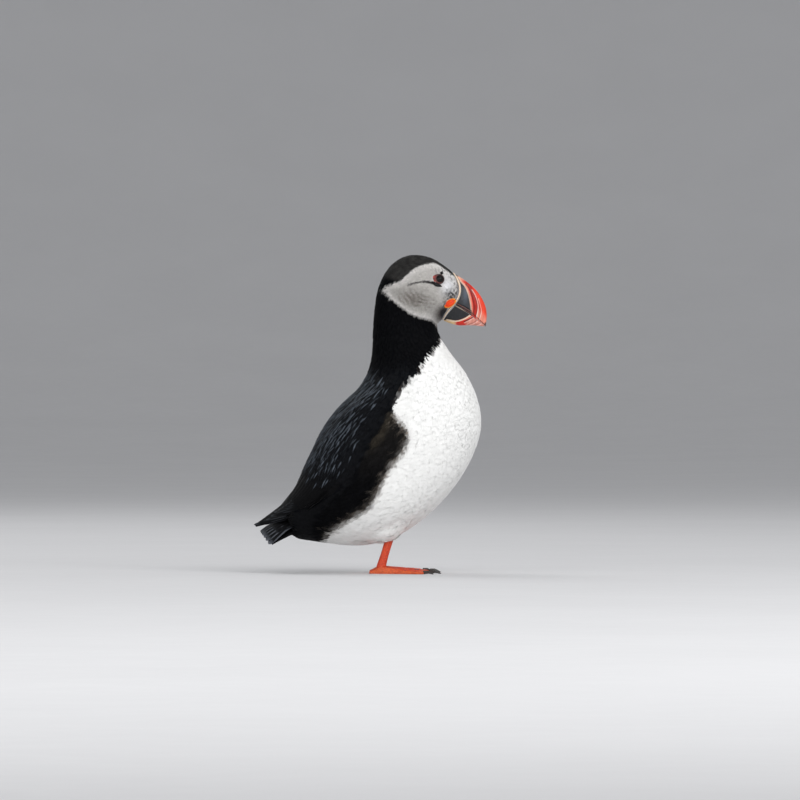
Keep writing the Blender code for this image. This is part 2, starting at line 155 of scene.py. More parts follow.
# %% [markdown]
# ## Working by hand, in code
# Operators act on whatever is selected, so each step first picks its piece. The helpers below are what a
# hand does all the time in Blender: pick a thing, name it, add a modifier and apply it. Shaping by a formula
# needs two more, which read a mesh's points in millimetres and write them back.

# %% Helpers: picking, modifiers, points
def pick(*chosen):
    """Selects these objects alone and makes the first one active."""
    bpy.ops.object.select_all(action="DESELECT")
    for one in chosen:
        one.select_set(True)
    bpy.context.view_layer.objects.active = chosen[0]


def added(name):
    """The object that an operator has just added, renamed."""
    made = bpy.context.active_object
    made.name = name
    made.data.name = name
    return made


def modify(piece, kind, **settings):
    """Adds a modifier with these settings and applies it."""
    pick(piece)
    step = piece.modifiers.new(kind.lower(), kind)
    for key, value in settings.items():
        setattr(step, key, value)
    bpy.ops.object.modifier_apply(modifier=step.name)


def settle(piece):
    """Puts the object's place, turn and size into its mesh."""
    pick(piece)
    bpy.ops.object.transform_apply(location=True, rotation=True, scale=True)


def read(piece, what="co"):
    """A mesh's points, in millimetres, or its points' normals."""
    flat = np.empty(3 * len(piece.data.vertices), np.float32)
    if what == "co":
        piece.data.vertices.foreach_get("co", flat)
        return flat.reshape(-1, 3).astype(float) / MM
    piece.data.vertex_normals.foreach_get("vector", flat)
    return flat.reshape(-1, 3).astype(float)


def write(piece, points):
    """Moves a mesh's points to places in millimetres."""
    piece.data.vertices.foreach_set("co", (points * MM).astype(np.float32).ravel())
    piece.data.update()


def triangles(piece):
    """How many triangles a mesh has."""
    return sum(len(face.vertices) - 2 for face in piece.data.polygons)


print("helpers: pick, added, modify, settle, read, write, triangles")

# %% The floor and its curled-up rim
FLOOR_REACH = 9.0  # metres
FLOOR_BORDER = 3.2
RIM_STEPS = ((0.25, 1.16), (0.7, 1.12), (1.2, 1.07), (2.4, 1.02))  # how far each rises, how much it widens
bpy.ops.mesh.primitive_circle_add(vertices=96, radius=FLOOR_REACH, fill_type="NGON")
floor = added("floor")
bpy.ops.object.mode_set(mode="EDIT")
bpy.ops.mesh.select_all(action="SELECT")
bpy.ops.mesh.inset(thickness=FLOOR_BORDER)
bpy.ops.mesh.select_all(action="INVERT")
for rise, widen in RIM_STEPS:
    bpy.ops.object.mode_set(mode="OBJECT")
    rim = max(math.hypot(v.co.x, v.co.y) for v in floor.data.vertices)
    for vertex in floor.data.vertices:
        vertex.select = math.hypot(vertex.co.x, vertex.co.y) > rim - 0.01
    for edge in floor.data.edges:
        edge.select = all(floor.data.vertices[k].select for k in edge.vertices)
    for face in floor.data.polygons:
        face.select = False
    bpy.ops.object.mode_set(mode="EDIT")
    bpy.ops.mesh.select_mode(type="EDGE")
    bpy.ops.mesh.extrude_edges_move(TRANSFORM_OT_translate={"value": (0.0, 0.0, rise)})
    bpy.ops.transform.resize(value=(widen, widen, 1.0))
bpy.ops.object.mode_set(mode="OBJECT")
modify(floor, "SUBSURF", levels=2, render_levels=2)
bpy.ops.object.shade_smooth()
floor.visible_shadow = False
floor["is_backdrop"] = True
print("floor:", len(floor.data.polygons), "faces")

# %% [markdown]
# ## The lie of the plumage
# Feathers point from the bill backwards over the head, down the neck and breast, and on to the tail. The
# same lines across the body that the solids are lofted on tell that story: each feather points from its
# line towards the next one below. A line is drawn in the side view from the back to the front, and a fine
# chart of the side view remembers, for each spot, which line it is on, how far down it, and which way the
# feathers lie.

# %% Lines across the body, from the wing tips to the base of the bill
ACROSS = (  # back x, back z, front x, front z
    (-91.0, 36.5, -85.0, 27.0),
    (-78.0, 44.2, -70.0, 25.5),
    (-67.5, 52.0, -58.0, 26.0),
    (-60.5, 59.7, -37.0, 23.0),
    (-55.5, 68.5, -8.0, 20.5),
    (-51.0, 79.0, 18.5, 27.0),
    (-45.0, 91.5, 44.5, 44.5),
    (-35.5, 110.5, 69.0, 73.0),
    (-22.5, 127.0, 82.6, 104.0),
    (-9.5, 139.0, 81.5, 128.5),
    (-2.9, 150.5, 72.0, 150.2),
    (0.6, 164.0, 62.0, 163.5),
    (1.3, 181.0, 52.6, 177.5),
    (2.4, 197.0, 50.2, 184.8),
    (5.2, 214.5, 50.0, 187.6),
    (14.0, 231.2, 51.6, 188.9),
    (28.0, 239.6, 52.8, 189.6),
    (43.8, 238.4, 53.4, 190.0),
    (54.3, 232.4, 53.5, 190.4),
    (60.2, 227.8, 53.2, 190.8),
)
LAST_LINE = len(ACROSS) - 1


def line_through(points, steps=6, closed=False):
    """A smooth line through a few points, as a longer row of points."""
    rows = np.array(points, float)
    if closed:
        rows = np.vstack([rows[-1:], rows, rows[:2]])
    else:
        rows = np.vstack([2 * rows[:1] - rows[1:2], rows, 2 * rows[-1:] - rows[-2:-1]])
    made = []
    for a, b, c, d in zip(rows, rows[1:], rows[2:], rows[3:]):
        for t in np.arange(steps) / steps:
            made.append(0.5 * (2 * b + (c - a) * t + (2 * a - 5 * b + 4 * c - d) * t ** 2
                               + (3 * b - a - 3 * c + d) * t ** 3))
    if not closed:
        made.append(rows[-2])
    return np.array(made)


print("lines across the body:", len(ACROSS))

# %% The chart of the side view
CHART_LOW = (-100, -6)  # x and z of its corner
CHART_SIZE = (200, 256)  # one cell a millimetre
CHART_STEPS = 20  # rows for each line
CHART_SMOOTHING = 5  # rounds

lines = line_through(ACROSS, CHART_STEPS)
shares = np.linspace(-0.2, 1.25, 74)
crossings = lines[:, None, :2] + (lines[:, None, 2:] - lines[:, None, :2]) * shares[None, :, None]
lie_along = -np.gradient(crossings, axis=0)
lie_along /= np.maximum(np.linalg.norm(lie_along, axis=2, keepdims=True), 1e-6)
finder = KDTree(crossings.shape[0] * crossings.shape[1])
for number, (px, pz) in enumerate(crossings.reshape(-1, 2)):
    finder.insert((px, pz, 0.0), number)
finder.balance()
chart = np.zeros((*CHART_SIZE, 4))  # line, share down it, lie in x, lie in z
for i in range(CHART_SIZE[0]):
    for k in range(CHART_SIZE[1]):
        number = finder.find((CHART_LOW[0] + i, CHART_LOW[1] + k, 0.0))[1]
        row, column = divmod(number, len(shares))
        chart[i, k] = (row / CHART_STEPS, shares[column], *lie_along[row, column])
for _ in range(CHART_SMOOTHING):
    chart[1:-1, 1:-1] = (chart[1:-1, 1:-1] * 2 + chart[2:, 1:-1] + chart[:-2, 1:-1]
                         + chart[1:-1, 2:] + chart[1:-1, :-2]) / 6
print("chart:", chart.shape[0] * chart.shape[1], "cells")


def on_chart(points):
    """For points in millimetres: line number, share down the line, and the lie as a direction."""
    place = points[:, [0, 2]] - np.array(CHART_LOW)
    place = np.clip(place, 0, np.array(CHART_SIZE) - 1.001)
    low = place.astype(int)
    part = place - low
    found = np.zeros((len(points), 4))
    for di in (0, 1):
        for dk in (0, 1):
            weight = (part[:, 0] if di else 1 - part[:, 0]) * (part[:, 1] if dk else 1 - part[:, 1])
            found += chart[low[:, 0] + di, low[:, 1] + dk] * weight[:, None]
    lie = np.stack([found[:, 2], np.zeros(len(points)), found[:, 3]], axis=1)
    return found[:, 0], found[:, 1], unit(lie)


def unit(vectors):
    """The same directions with length 1."""
    return vectors / np.maximum(np.linalg.norm(vectors, axis=1, keepdims=True), 1e-9)


# %% [markdown]
# ## The markings
# A puffin is black above and white below, with a pale grey face inside a black hood, and the edges between
# them are what people know it by. Each patch is a closed outline in the side view, drawn through a few
# points, and both sides of the bird share it. What has no outline, such as the dusky cheek, the sooty specks
# before the bill and the olive patch in front of the wing, is a soft spot or a slow wander. Skin and feathers
# ask the same function for their colour, so they can never disagree.

# %% Outlines of the patches
FACE = (
    (68.0, 219.6), (61.0, 225.0), (55.4, 229.3), (48.6, 233.6), (43.0, 233.0), (36.9, 231.4), (32.3, 229.0),
    (27.8, 225.2), (23.0, 220.8), (17.4, 217.9), (12.1, 215.6), (7.6, 213.2), (11.5, 209.3), (17.0, 204.6),
    (22.8, 200.0), (29.1, 195.6), (35.5, 192.8), (42.4, 191.2), (46.6, 189.8), (49.6, 186.8), (53.5, 182.0),
    (62.0, 184.0), (74.0, 198.0),
)
BREAST = (
    (53.6, 176.8), (52.6, 171.2), (45.2, 161.8), (39.2, 153.9), (34.7, 147.0), (28.4, 141.8), (23.0, 137.2),
    (19.6, 129.7), (16.6, 122.6), (19.5, 115.0), (26.6, 107.0), (27.0, 99.0), (22.0, 89.0), (13.0, 77.0),
    (6.9, 64.8), (-0.6, 51.3), (-8.0, 45.2), (-23.2, 36.2), (-33.8, 28.7), (-37.0, 18.0), (-34.0, 4.0),
    (40.0, -8.0), (112.0, 40.0), (118.0, 130.0), (92.0, 172.0), (66.0, 184.0),
)
FLANK = (
    (14.5, 121.0), (27.3, 103.0), (24.0, 89.0), (14.0, 77.0), (7.6, 64.8), (0.4, 51.3), (-8.0, 44.0),
    (-23.2, 35.0), (-36.0, 26.0), (-44.0, 34.0), (-26.2, 55.8), (-14.2, 66.0), (-8.0, 82.0), (0.0, 98.0),
    (9.0, 111.0),
)
WING_FRONT = ((17.0, 118.5), (10.5, 111.0), (4.4, 102.5), (-1.5, 93.0), (-6.0, 85.0))
EYE_LINE = ((47.0, 218.0), (43.5, 219.1), (40.5, 219.3), (37.0, 219.0), (32.5, 218.1), (27.6, 216.8))
EYE_MIDDLE = (51.6, 221.3)
HORN_EDGE = ((63.6, 225.4), (66.3, 220.5), (67.9, 216.9), (68.3, 212.5), (67.7, 208.9), (66.3, 205.7),
             (64.1, 202.8), (60.7, 199.0), (57.4, 194.8), (54.8, 190.3))
print("points drawn:", len(FACE) + len(BREAST) + len(FLANK))

# %% [markdown]
# Everything that follows is measured in the side view: how far a spot is from a line, how deep inside an
# outline, how near the middle of a soft spot. Edges are never hard steps, because a feather's tip is soft.


# %% Distances in the side view
def beside(line, x, z, closed=False):
    """How far each spot of the side view lies from a line, and how far along the line, from 0 to 1."""
    ends = np.roll(line, -1, axis=0) if closed else line[1:]
    starts = line if closed else line[:-1]
    best = np.full(x.shape, 1e9)
    share = np.zeros(x.shape)
    for k, (a, b) in enumerate(zip(starts, ends)):
        way = b - a
        t = np.clip(((x - a[0]) * way[0] + (z - a[1]) * way[1]) / max(way @ way, 1e-9), 0.0, 1.0)
        off = np.hypot(x - a[0] - t * way[0], z - a[1] - t * way[1])
        nearer = off < best
        best = np.where(nearer, off, best)
        share = np.where(nearer, (k + t) / len(starts), share)
    return best, share


def inside(outline, x, z):
    """Distance from a closed outline, above 0 inside it."""
    off, _ = beside(outline, x, z, closed=True)
    crossed = np.zeros(x.shape, bool)
    for a, b in zip(outline, np.roll(outline, -1, axis=0)):
        spans = (a[1] > z) != (b[1] > z)
        reach = a[0] + (z - a[1]) / (b[1] - a[1] + 1e-12) * (b[0] - a[0])
        crossed ^= spans & (x < reach)
    return np.where(crossed, off, -off)


def ahead(line, x, z):
    """Distance from an upright line of the side view, above 0 in front of it."""
    rows = line_through(line, 5)
    off, _ = beside(rows, x, z)
    order = np.argsort(rows[:, 1])
    return np.where(x > np.interp(z, rows[order, 1], rows[order, 0]), off, -off)


def smooth(low, high, value):
    """0 at low, 1 at high, and an even rise or fall between."""
    t = np.clip((value - low) / (high - low), 0.0, 1.0)
    return t * t * (3.0 - 2.0 * t)


def bell(value, middle, width):
    """1 at the middle, fading evenly to 0 on both sides of it."""
    return np.exp(-(((value - middle) / width) ** 2))


def soft_spot(x, z, middle, size):
    """1 at the middle of a round patch of the side view, fading to 0 over its size in x and in z."""
    return bell(x, middle[0], size[0]) * bell(z, middle[1], size[1])


# %% The outlines, drawn smoothly through their points
face_outline = line_through(FACE, 4, closed=True)
breast_outline = line_through(BREAST, 4, closed=True)
flank_outline = line_through(FLANK, 4, closed=True)
eye_line = line_through(EYE_LINE, 4)
wing_front = line_through(WING_FRONT, 4)
print("outlines:", len(face_outline), len(breast_outline), len(flank_outline), "points")


# %% The colours
def tint(red, green, blue):
    """A colour as people mix it, from 0 to 255, as the even light values that a shader wants."""
    mixed = (red, green, blue)
    return np.array([((c / 255 + 0.055) / 1.055) ** 2.4 if c > 10 else c / 3295 for c in mixed])


WHITE = tint(250, 250, 248)
BLACK = tint(11, 12, 15)
SLATE_BLACK = tint(16, 18, 22)
BROWN_BLACK = tint(31, 30, 30)
CROWN_SHEEN_GREY = tint(62, 61, 60)
OLIVE = tint(72, 66, 57)
FACE_GREY = tint(197, 194, 190)
FACE_PALE = tint(228, 225, 222)
FACE_DUSK = tint(110, 103, 96)
LORE_WHITE = tint(242, 242, 245)  # the lore is the patch between eye and bill
CHIN_GREY = tint(104, 96, 92)
SOOT = tint(52, 50, 54)
HEM_GREY = tint(132, 124, 116)
COLLAR_BROWN = tint(74, 62, 54)
print("white:", WHITE.round(3), "black:", BLACK.round(3))


# %% Laying one colour over another
def plain(colour, points):
    """The same colour for each point."""
    return np.tile(colour, (len(points), 1))


def over(under, colour, share):
    """A colour laid over what is there, as thickly as share says at each spot."""
    return under + (colour - under) * np.asarray(share)[:, None]


def drift(points, size, seed):
    """A slow, even wander between -1 and 1, about size millimetres from crest to crest."""
    a, b, c = points.T / size
    one = np.sin(6.28 * (a + 0.37 * seed) + 2.1 * np.sin(4.1 * c + seed))
    two = np.sin(6.28 * (c * 0.83 + 0.21 * seed) + 1.7 * np.sin(3.3 * a + 1.3 * b + 2 * seed))
    three = np.sin(5.1 * b + 3.9 * a - 2.7 * c + 5 * seed)
    return (one + two + three) / 3


print("helpers: plain, over, drift")


# %% The face
def face_colour(points):
    """Pale grey, dusky in the lower middle, whitest round its rim, and sooty in front of the rosette."""
    x, _, z = points.T
    rim = inside(face_outline, x, z)
    colour = over(plain(FACE_GREY, points), FACE_PALE, 0.85 * (1 - smooth(1.0, 6.0, rim)))
    cheek = soft_spot(x, z - 0.1 * (33 - x), (33, 206), (14.5, 7.6))
    swirl = np.sin(1.9 * np.hypot(x - 51, z - 223) + 3.4 * drift(points, 14.0, 6))
    swirl = swirl * (0.5 + 0.9 * drift(points, 8.0, 13))
    colour = over(colour, FACE_DUSK, np.clip(cheek * (0.72 + 0.5 * swirl), 0, 1) * smooth(0.0, 2.5, rim))
    colour = over(colour, LORE_WHITE, 0.95 * soft_spot(x, z, (58, 216), (5, 6.5)))
    colour = over(colour, CHIN_GREY, np.clip(1.2 * soft_spot(x, z, (53.5, 194.5), (4.6, 5.6)), 0, 1))
    colour = over(colour, SOOT * 0.8, np.clip(1.4 * soft_spot(x, z, (55.0, 195.5), (3.2, 4.6)), 0, 1))
    smudge = soft_spot(x, z, (60.2, 209.4), (4.2, 4.2))
    smudge = np.maximum(smudge, 0.8 * soft_spot(x, z, (55.8, 202.0), (1.5, 5.5)))
    colour = over(colour, SOOT * 0.7, np.clip(smudge * (0.95 + 1.5 * drift(points, 2.9, 5)), 0, 0.97))
    near_bill = bell(-ahead(HORN_EDGE, x, z), 3.6, 2.2) * smooth(201.0, 205.0, z)
    specks = smooth(0.0, 0.3, drift(points, 3.2, 8)) * near_bill * (0.6 + 0.9 * drift(points, 1.7, 18))
    brow = smooth(0.1, 0.5, drift(points, 2.6, 2)) * soft_spot(x, z, (53.0, 228.0), (5.5, 2.0))
    colour = over(colour, SOOT * 0.7, 0.95 * np.maximum(np.clip(specks, 0, 1), brow))
    crease, along = beside(eye_line, x, z)
    width = 1.25 - 0.6 * along
    colour = over(colour, SOOT * 0.25, (1 - smooth(0.4 * width, width, crease)) * (1 - 0.2 * along))
    under_eye = np.exp(-(np.hypot(x - 50.4, z - 217.9) / 1.7) ** 4)
    return over(colour, SOOT * 0.3, 0.95 * under_eye)


print("behind the eye:", face_colour(np.array([[40.0, -18.0, 225.0]])).round(2))


# %% The whole plumage
def plumage(points):
    """The colour of skin and feathers at points in millimetres."""
    x, _, z = points.T
    breast = inside(breast_outline, x, z)
    flank = inside(flank_outline, x, z)
    colour = over(plain(BLACK, points), SLATE_BLACK, 0.75 * smooth(161.0, 148.0, z))
    colour = over(colour, BROWN_BLACK, smooth(-1.5, 2.5, flank))
    colour = over(colour, BLACK, 0.9 * smooth(90.0, 62.0, z))
    # greyer on top of the head: painted sheen where the light falls on the crown
    crown = smooth(-1.0, 3.0, z - 214.0 - 0.35 * np.abs(x - 34.0))
    colour = over(colour, CROWN_SHEEN_GREY, 0.95 * crown * (0.85 + 0.3 * drift(points, 7.0, 15)))
    olive = bell(beside(wing_front, x, z)[0], 0.0, 4.5) * smooth(86.0, 98.0, z)
    colour = over(colour, OLIVE, 0.75 * olive * smooth(-1.0, 2.0, flank))
    soft = 0.5 + 1.8 * smooth(124.0, 116.0, z)
    colour = over(colour, WHITE, smooth(-1.0, 1.0, (breast + 0.5 * soft * drift(points, 4.0, 9)) / soft))
    hem = bell(breast, 0.0, soft) * (soft > 0.9) * smooth(22.0, 30.0, z)
    colour = over(colour, HEM_GREY, hem * (0.5 + 0.5 * drift(points, 2.6, 12)))
    collar = bell(breast, -0.4, 0.7) * smooth(124.0, 130.0, z)
    colour = over(colour, COLLAR_BROWN, collar * (0.2 + 0.3 * drift(points, 3.1, 16)))
    ragged = 1.3 * drift(points, 2.4, 14) * smooth(25.0, 12.0, x)
    colour = over(colour, face_colour(points), smooth(-0.4, 0.4, inside(face_outline, x, z) + ragged))
    return colour * (1.0 + 0.05 * drift(points, 9.0, 1))[:, None]


print("on the back:", plumage(np.array([[-20.0, -30.0, 120.0]])).round(3))


# %% Colours kept on a mesh
def paint(piece, colours, strength=1.0):
    """Keeps colours on a mesh's points, and a strength beside each, as the attribute named paint."""
    kept = piece.data.color_attributes.new("paint", "FLOAT_COLOR", "POINT")
    rows = np.ones((len(piece.data.vertices), 4), np.float32)
    rows[:, :3] = np.clip(colours, 0.0, 1.0)
    rows[:, 3] = strength
    kept.data.foreach_set("color", rows.ravel())


print("helper: paint")

# %% [markdown]
# ## The skin
# Under its feathers a bird is a smooth, closed shape. Copies of the solids of flesh are joined, swollen a
# little so that their hairline gaps close, and melted into one mesh by a voxel remesh, which no pair of
# Booleans does so cleanly. The mesh is then sunk by the depth of the plumage, so that the feathers' tips,
# and not their roots, reach the bird's true outline. A puffin has a fold in the skin that runs back from its
# eye, and it is pressed in along the same line that the markings follow.

# %% Copies of the solids, and the depth of the plumage
DEPTH_LINES = (0.0, 2.0, 3.0, 5.0, 8.0, 11.0, 13.0, 14.5, 17.0, 19.0)  # lines across the body
DEPTHS = (0.25, 0.4, 0.7, 0.95, 1.05, 1.05, 1.1, 1.0, 0.8, 0.5)


def copy_of(node):
    """A copy of a solid with its own mesh, the corners of its loose triangles merged."""
    made = frame["nodes"][node].copy()
    made.data = made.data.copy()
    made.parent = None
    for key in list(made.keys()):
        del made[key]
    bpy.context.scene.collection.objects.link(made)
    made.hide_render = False
    made.hide_viewport = False
    made.hide_set(False)
    pick(made)
    made.data.materials.clear()
    bpy.ops.object.mode_set(mode="EDIT")
    bpy.ops.mesh.select_all(action="SELECT")
    bpy.ops.mesh.customdata_custom_splitnormals_clear()
    bpy.ops.mesh.remove_doubles(threshold=0.01 * MM)
    bpy.ops.object.mode_set(mode="OBJECT")
    return made


def joined(name, parts):
    """Several meshes as one piece."""
    pick(*parts)
    if len(parts) > 1:
        bpy.ops.object.join()
    return added(name)


def plumage_depth(points):
    """How thick the feathers lie on the skin at points in millimetres."""
    line, _, _ = on_chart(points)
    return np.interp(line, DEPTH_LINES, DEPTHS)


print("helpers: copy_of, joined, plumage_depth")

# %% One skin from the solids of flesh
FLESH = ("trunk", "neck", "head", "wing_right", "wing_left", "tail")
FILLED = ("eye_right", "eye_left", "rosette_right", "rosette_left")
SWELL = 0.35
SKIN_VOXEL = 1.15
SKIN_END = -64.0  # behind this there are only quills
FOLD_DEPTH = 0.8  # of the crease behind the eye

skin = joined("skin", [copy_of(node) for node in FLESH + FILLED])
modify(skin, "DISPLACE", strength=SWELL * MM, mid_level=0.0)
modify(skin, "REMESH", mode="VOXEL", voxel_size=SKIN_VOXEL * MM)
modify(skin, "SMOOTH", factor=0.5, iterations=5)
bpy.ops.object.mode_set(mode="EDIT")
bpy.ops.mesh.select_all(action="SELECT")
bpy.ops.mesh.bisect(plane_co=(SKIN_END * MM, 0.0, 0.0), plane_no=(-1.0, 0.0, 0.0), use_fill=True,
                    clear_outer=True)
bpy.ops.object.mode_set(mode="OBJECT")
spots = read(skin)
crease, _ = beside(eye_line, spots[:, 0], spots[:, 2])
fold = FOLD_DEPTH * bell(crease, 0.0, 0.9) * smooth(3.0, 6.0, np.abs(spots[:, 1]))
write(skin, spots - read(skin, "normal") * (SWELL + plumage_depth(spots) + fold)[:, None])
modify(skin, "SMOOTH", factor=0.5, iterations=3)
pick(skin)
bpy.ops.object.shade_smooth()
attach(skin, "root")
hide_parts(*FLESH)
print("skin:", triangles(skin), "triangles")

# %% [markdown]
# ## Finishes
# Each finish is a small wiring of nodes. Writing the wiring again for every material hides what is special
# about each, so a bench holds the few moves they share: add a node, mix two colours, lay a grain of a size
# in millimetres, and turn a height into a bump. Colours come from the paint attribute, and the nodes add
# what paint can't: mottling, barbs, pores, gloss and wear.

# %% A bench for wiring a finish
class Bench:
    """One material, its nodes added and linked in the order that they are written."""

    def __init__(self, name):
        self.look = bpy.data.materials.new(name)
        self.look.use_nodes = True
        self.tree = self.look.node_tree
        self.shader = self.tree.nodes["Principled BSDF"]
        self.place = self.node("TexCoord").outputs["Object"]

    def node(self, kind, feeds=(), **settings):
        """Adds a node and feeds its sockets with values or with other nodes' outputs."""
        made = self.tree.nodes.new("ShaderNode" + kind)
        for key, value in settings.items():
            setattr(made, key, value)
        for socket, value in dict(feeds).items():
            self.feed(made.inputs[socket], value)
        return made

    def feed(self, socket, value):
        """Gives a socket a value, or links another node's output to it."""
        if isinstance(value, bpy.types.NodeSocket):
            self.tree.links.new(value, socket)
        else:
            socket.default_value = value

    def paint(self):
        """The colour kept on the mesh, and the strength beside it."""
        kept = self.node("Attribute", attribute_name="paint")
        return kept.outputs["Color"], kept.outputs["Alpha"]

    def sums(self, operation, *values):
        """One step of arithmetic on values or outputs."""
        return self.node("Math", enumerate(values), operation=operation).outputs[0]

    def mix(self, share, one, other, how="MIX"):
        """Colour one turning into the other as share rises; colours may be outputs or tuples."""
        made = self.node("Mix", data_type="RGBA", blend_type=how)
        for socket, value in ((0, share), (6, one), (7, other)):
            value = (*value, 1.0) if isinstance(value, (tuple, list, np.ndarray)) else value
            self.feed(made.inputs[socket], value)
        return made.outputs[2]

    def grain(self, size, detail=3.0, stretch=None, roughness=0.55):
        """Noise with grains of a size in millimetres, stretched along the axes if asked."""
        place = self.place
        if stretch:
            place = self.node("Mapping", {"Vector": place, "Scale": stretch}).outputs[0]
        feeds = {"Vector": place, "Scale": 1.0 / (size * MM), "Detail": detail, "Roughness": roughness}
        return self.node("TexNoise", feeds).outputs["Fac"]

    def cells(self, size, feature="F1"):
        """Distance within round cells of a size in millimetres."""
        feeds = {"Vector": self.place, "Scale": 1.0 / (size * MM)}
        return self.node("TexVoronoi", feeds, feature=feature).outputs["Distance"]

    def rise(self, value, low, high, to_low=0.0, to_high=1.0):
        """Turns low to high into to_low to to_high, evenly and without overshoot."""
        feeds = {"Value": value, "From Min": low, "From Max": high, "To Min": to_low, "To Max": to_high}
        return self.node("MapRange", feeds, interpolation_type="SMOOTHSTEP").outputs[0]

    def bump(self, *heights):
        """Stacks bumps; each height is (value, strength, depth in millimetres)."""
        below = None
        for value, strength, depth in heights:
            feeds = {"Height": value, "Strength": strength, "Distance": depth * MM}
            if below:
                feeds["Normal"] = below
            below = self.node("Bump", feeds).outputs[0]
        self.feed(self.shader.inputs["Normal"], below)

    def set(self, **sockets):
        """Values and outputs for the shader's own sockets, spaces written as underscores."""
        for name, value in sockets.items():
            self.feed(self.shader.inputs[name.replace("_", " ")], value)

    def rough(self, grain, low, high):
        """A roughness that goes from low to high with a grain."""
        self.set(Roughness=self.rise(grain, 0.3, 0.7, low, high))


def dress(piece, bench):
    """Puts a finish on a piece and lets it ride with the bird."""
    piece.data.materials.clear()
    piece.data.materials.append(bench.look)
    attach(piece, "root")


# %% Finish of the floor
FLOOR_TONES = ((0.63, 0.63, 0.64), (0.645, 0.645, 0.655))

plaster = Bench("pale_floor")
plaster.set(Base_Color=plaster.mix(plaster.rise(plaster.grain(240.0, 4.0), 0.3, 0.7), *FLOOR_TONES))
plaster.rough(plaster.grain(30.0), 0.7, 0.9)
plaster.bump((plaster.grain(6.0), 0.15, 0.3))
floor.data.materials.append(plaster.look)
print("floor finish:", len(plaster.tree.nodes), "nodes")

# %% [markdown]
# Bare skin between feather roots is matt and finely pimpled. It shows only as a hint between feathers, so
# its pattern is quiet: the markings, a mottle, and a bump of small follicles.

# %% Finish of the skin
under = Bench("skin_under_feathers")
colour, _ = under.paint()
mottle = under.grain(2.4, 4.0)
under.set(Base_Color=under.mix(under.rise(mottle, 0.3, 0.7, 0.0, 0.12), colour, (0.0, 0.0, 0.0)))
under.set(Roughness=under.rise(mottle, 0.2, 0.8, 0.75, 0.95), Specular_IOR_Level=0.04)
under.bump((under.cells(0.8), 0.4, 0.1), (mottle, 0.5, 0.2))
paint(skin, plumage(read(skin)))
dress(skin, under)
print("skin finish:", len(under.tree.nodes), "nodes")

# %% [markdown]
# The solids are faceted, so horn, legs and quills start as fine copies of them. Edges that are sharp on the
# solid get a full crease, so that a subdivision surface rounds the rest and leaves them crisp, and a voxel
# remesh then spreads even, small faces over the copy for grooves and scales to be pressed into. Small parts
# are stood on the skin, so a search tree finds its nearest spot and the way it faces there.

# %% A smooth copy of a solid
SHARP = math.radians(50)


def smooth_copy(node, name, voxel, rounds=3):
    """A finely meshed copy of a solid: creased where it is sharp, rounded elsewhere."""
    made = copy_of(node)
    bpy.ops.object.mode_set(mode="EDIT")
    bpy.ops.mesh.select_all(action="SELECT")
    bpy.ops.mesh.tris_convert_to_quads()
    bpy.ops.mesh.select_all(action="DESELECT")
    bpy.ops.mesh.select_mode(type="EDGE")
    bpy.ops.mesh.edges_select_sharp(sharpness=SHARP)
    bpy.ops.transform.edge_crease(value=1.0)
    bpy.ops.object.mode_set(mode="OBJECT")
    modify(made, "SUBSURF", levels=3, render_levels=3)
    if voxel:
        modify(made, "REMESH", mode="VOXEL", voxel_size=voxel * MM)
        modify(made, "SMOOTH", factor=0.5, iterations=rounds)
    pick(made)
    bpy.ops.object.shade_smooth()
    return added(name)


print("edges sharper than", round(math.degrees(SHARP)), "degrees stay crisp")


# %% Spots on the skin
class Ground:
    """A mesh to stand things on: finds the nearest spot of it and the smooth normal there."""

    def __init__(self, piece):
        self.normals = read(piece, "normal")
        self.faces = [tuple(face.vertices) for face in piece.data.polygons]
        self.tree = BVHTree.FromPolygons([tuple(p) for p in read(piece)], self.faces)

    def normal(self, face):
        """The smooth normal in the middle of a face."""
        return unit(self.normals[list(self.faces[face])].mean(axis=0)[None])[0]

    def nearest(self, points):
        """For each point the nearest spot and the normal at it."""
        spots = np.empty_like(points)
        ways = np.empty_like(points)
        for k, point in enumerate(points):
            spot, _, face, _ = self.tree.find_nearest(point)
            spots[k] = spot
            ways[k] = self.normal(face)
        return spots, ways

    def from_side(self, side, x, z):
        """The spot that shows at a place of the side view, seen from the right (-1) or the left (1)."""
        spot, _, face, _ = self.tree.ray_cast((x, side * 200.0, z), (0.0, -side, 0.0))
        if face is None:
            spot, _, face, _ = self.tree.find_nearest((x, side * 20.0, z))
            spot = (x, spot[1], z)
        return np.array(spot), self.normal(face)


skin_ground = Ground(skin)
print("ground:", len(skin_ground.faces), "faces")

# %% [markdown]
# ## The bill
# A puffin's bill is a tall, thin blade of horn. Its base is slate grey, a cream line parts that from the
# red, and curved grooves run across the red, one more with age. The solids have the right outline, so the
# two jaws are fine copies of them, and the grooves are pressed in and painted along the same curves. Doing
# both from one set of lines keeps colour and relief together.

# %% Lines of the bill, from top to bottom
SLATE_EDGE = ((66.2, 221.4), (68.2, 219.0), (70.9, 216.0), (73.0, 211.5), (74.4, 206.4), (75.3, 201.4),
              (75.7, 196.0))
GROOVE_RED = ((71.6, 217.6), (74.6, 213.8), (77.0, 205.6), (77.8, 200.0), (77.2, 195.0))
GROOVE_PALE = ((76.2, 213.4), (78.8, 209.0), (80.6, 203.5), (80.8, 198.3), (79.6, 192.8))
GROOVE_LAST = ((81.0, 206.8), (82.7, 201.0), (83.3, 196.7), (81.9, 191.2))
SLATE_LOW = ((76.6, 195.6), (73.5, 193.2), (69.9, 191.2), (64.1, 189.7), (57.4, 190.7))
LOW_GROOVES = (((70.2, 189.3), (74.0, 191.2), (78.2, 193.4)), ((73.5, 187.2), (78.0, 189.0), (81.0, 191.3)),
               ((78.0, 186.6), (81.4, 187.8), (83.4, 189.2)))
GAPE = ((64.0, 202.6), (76.0, 195.8), (86.0, 187.0))
SLATE = tint(52, 54, 58)
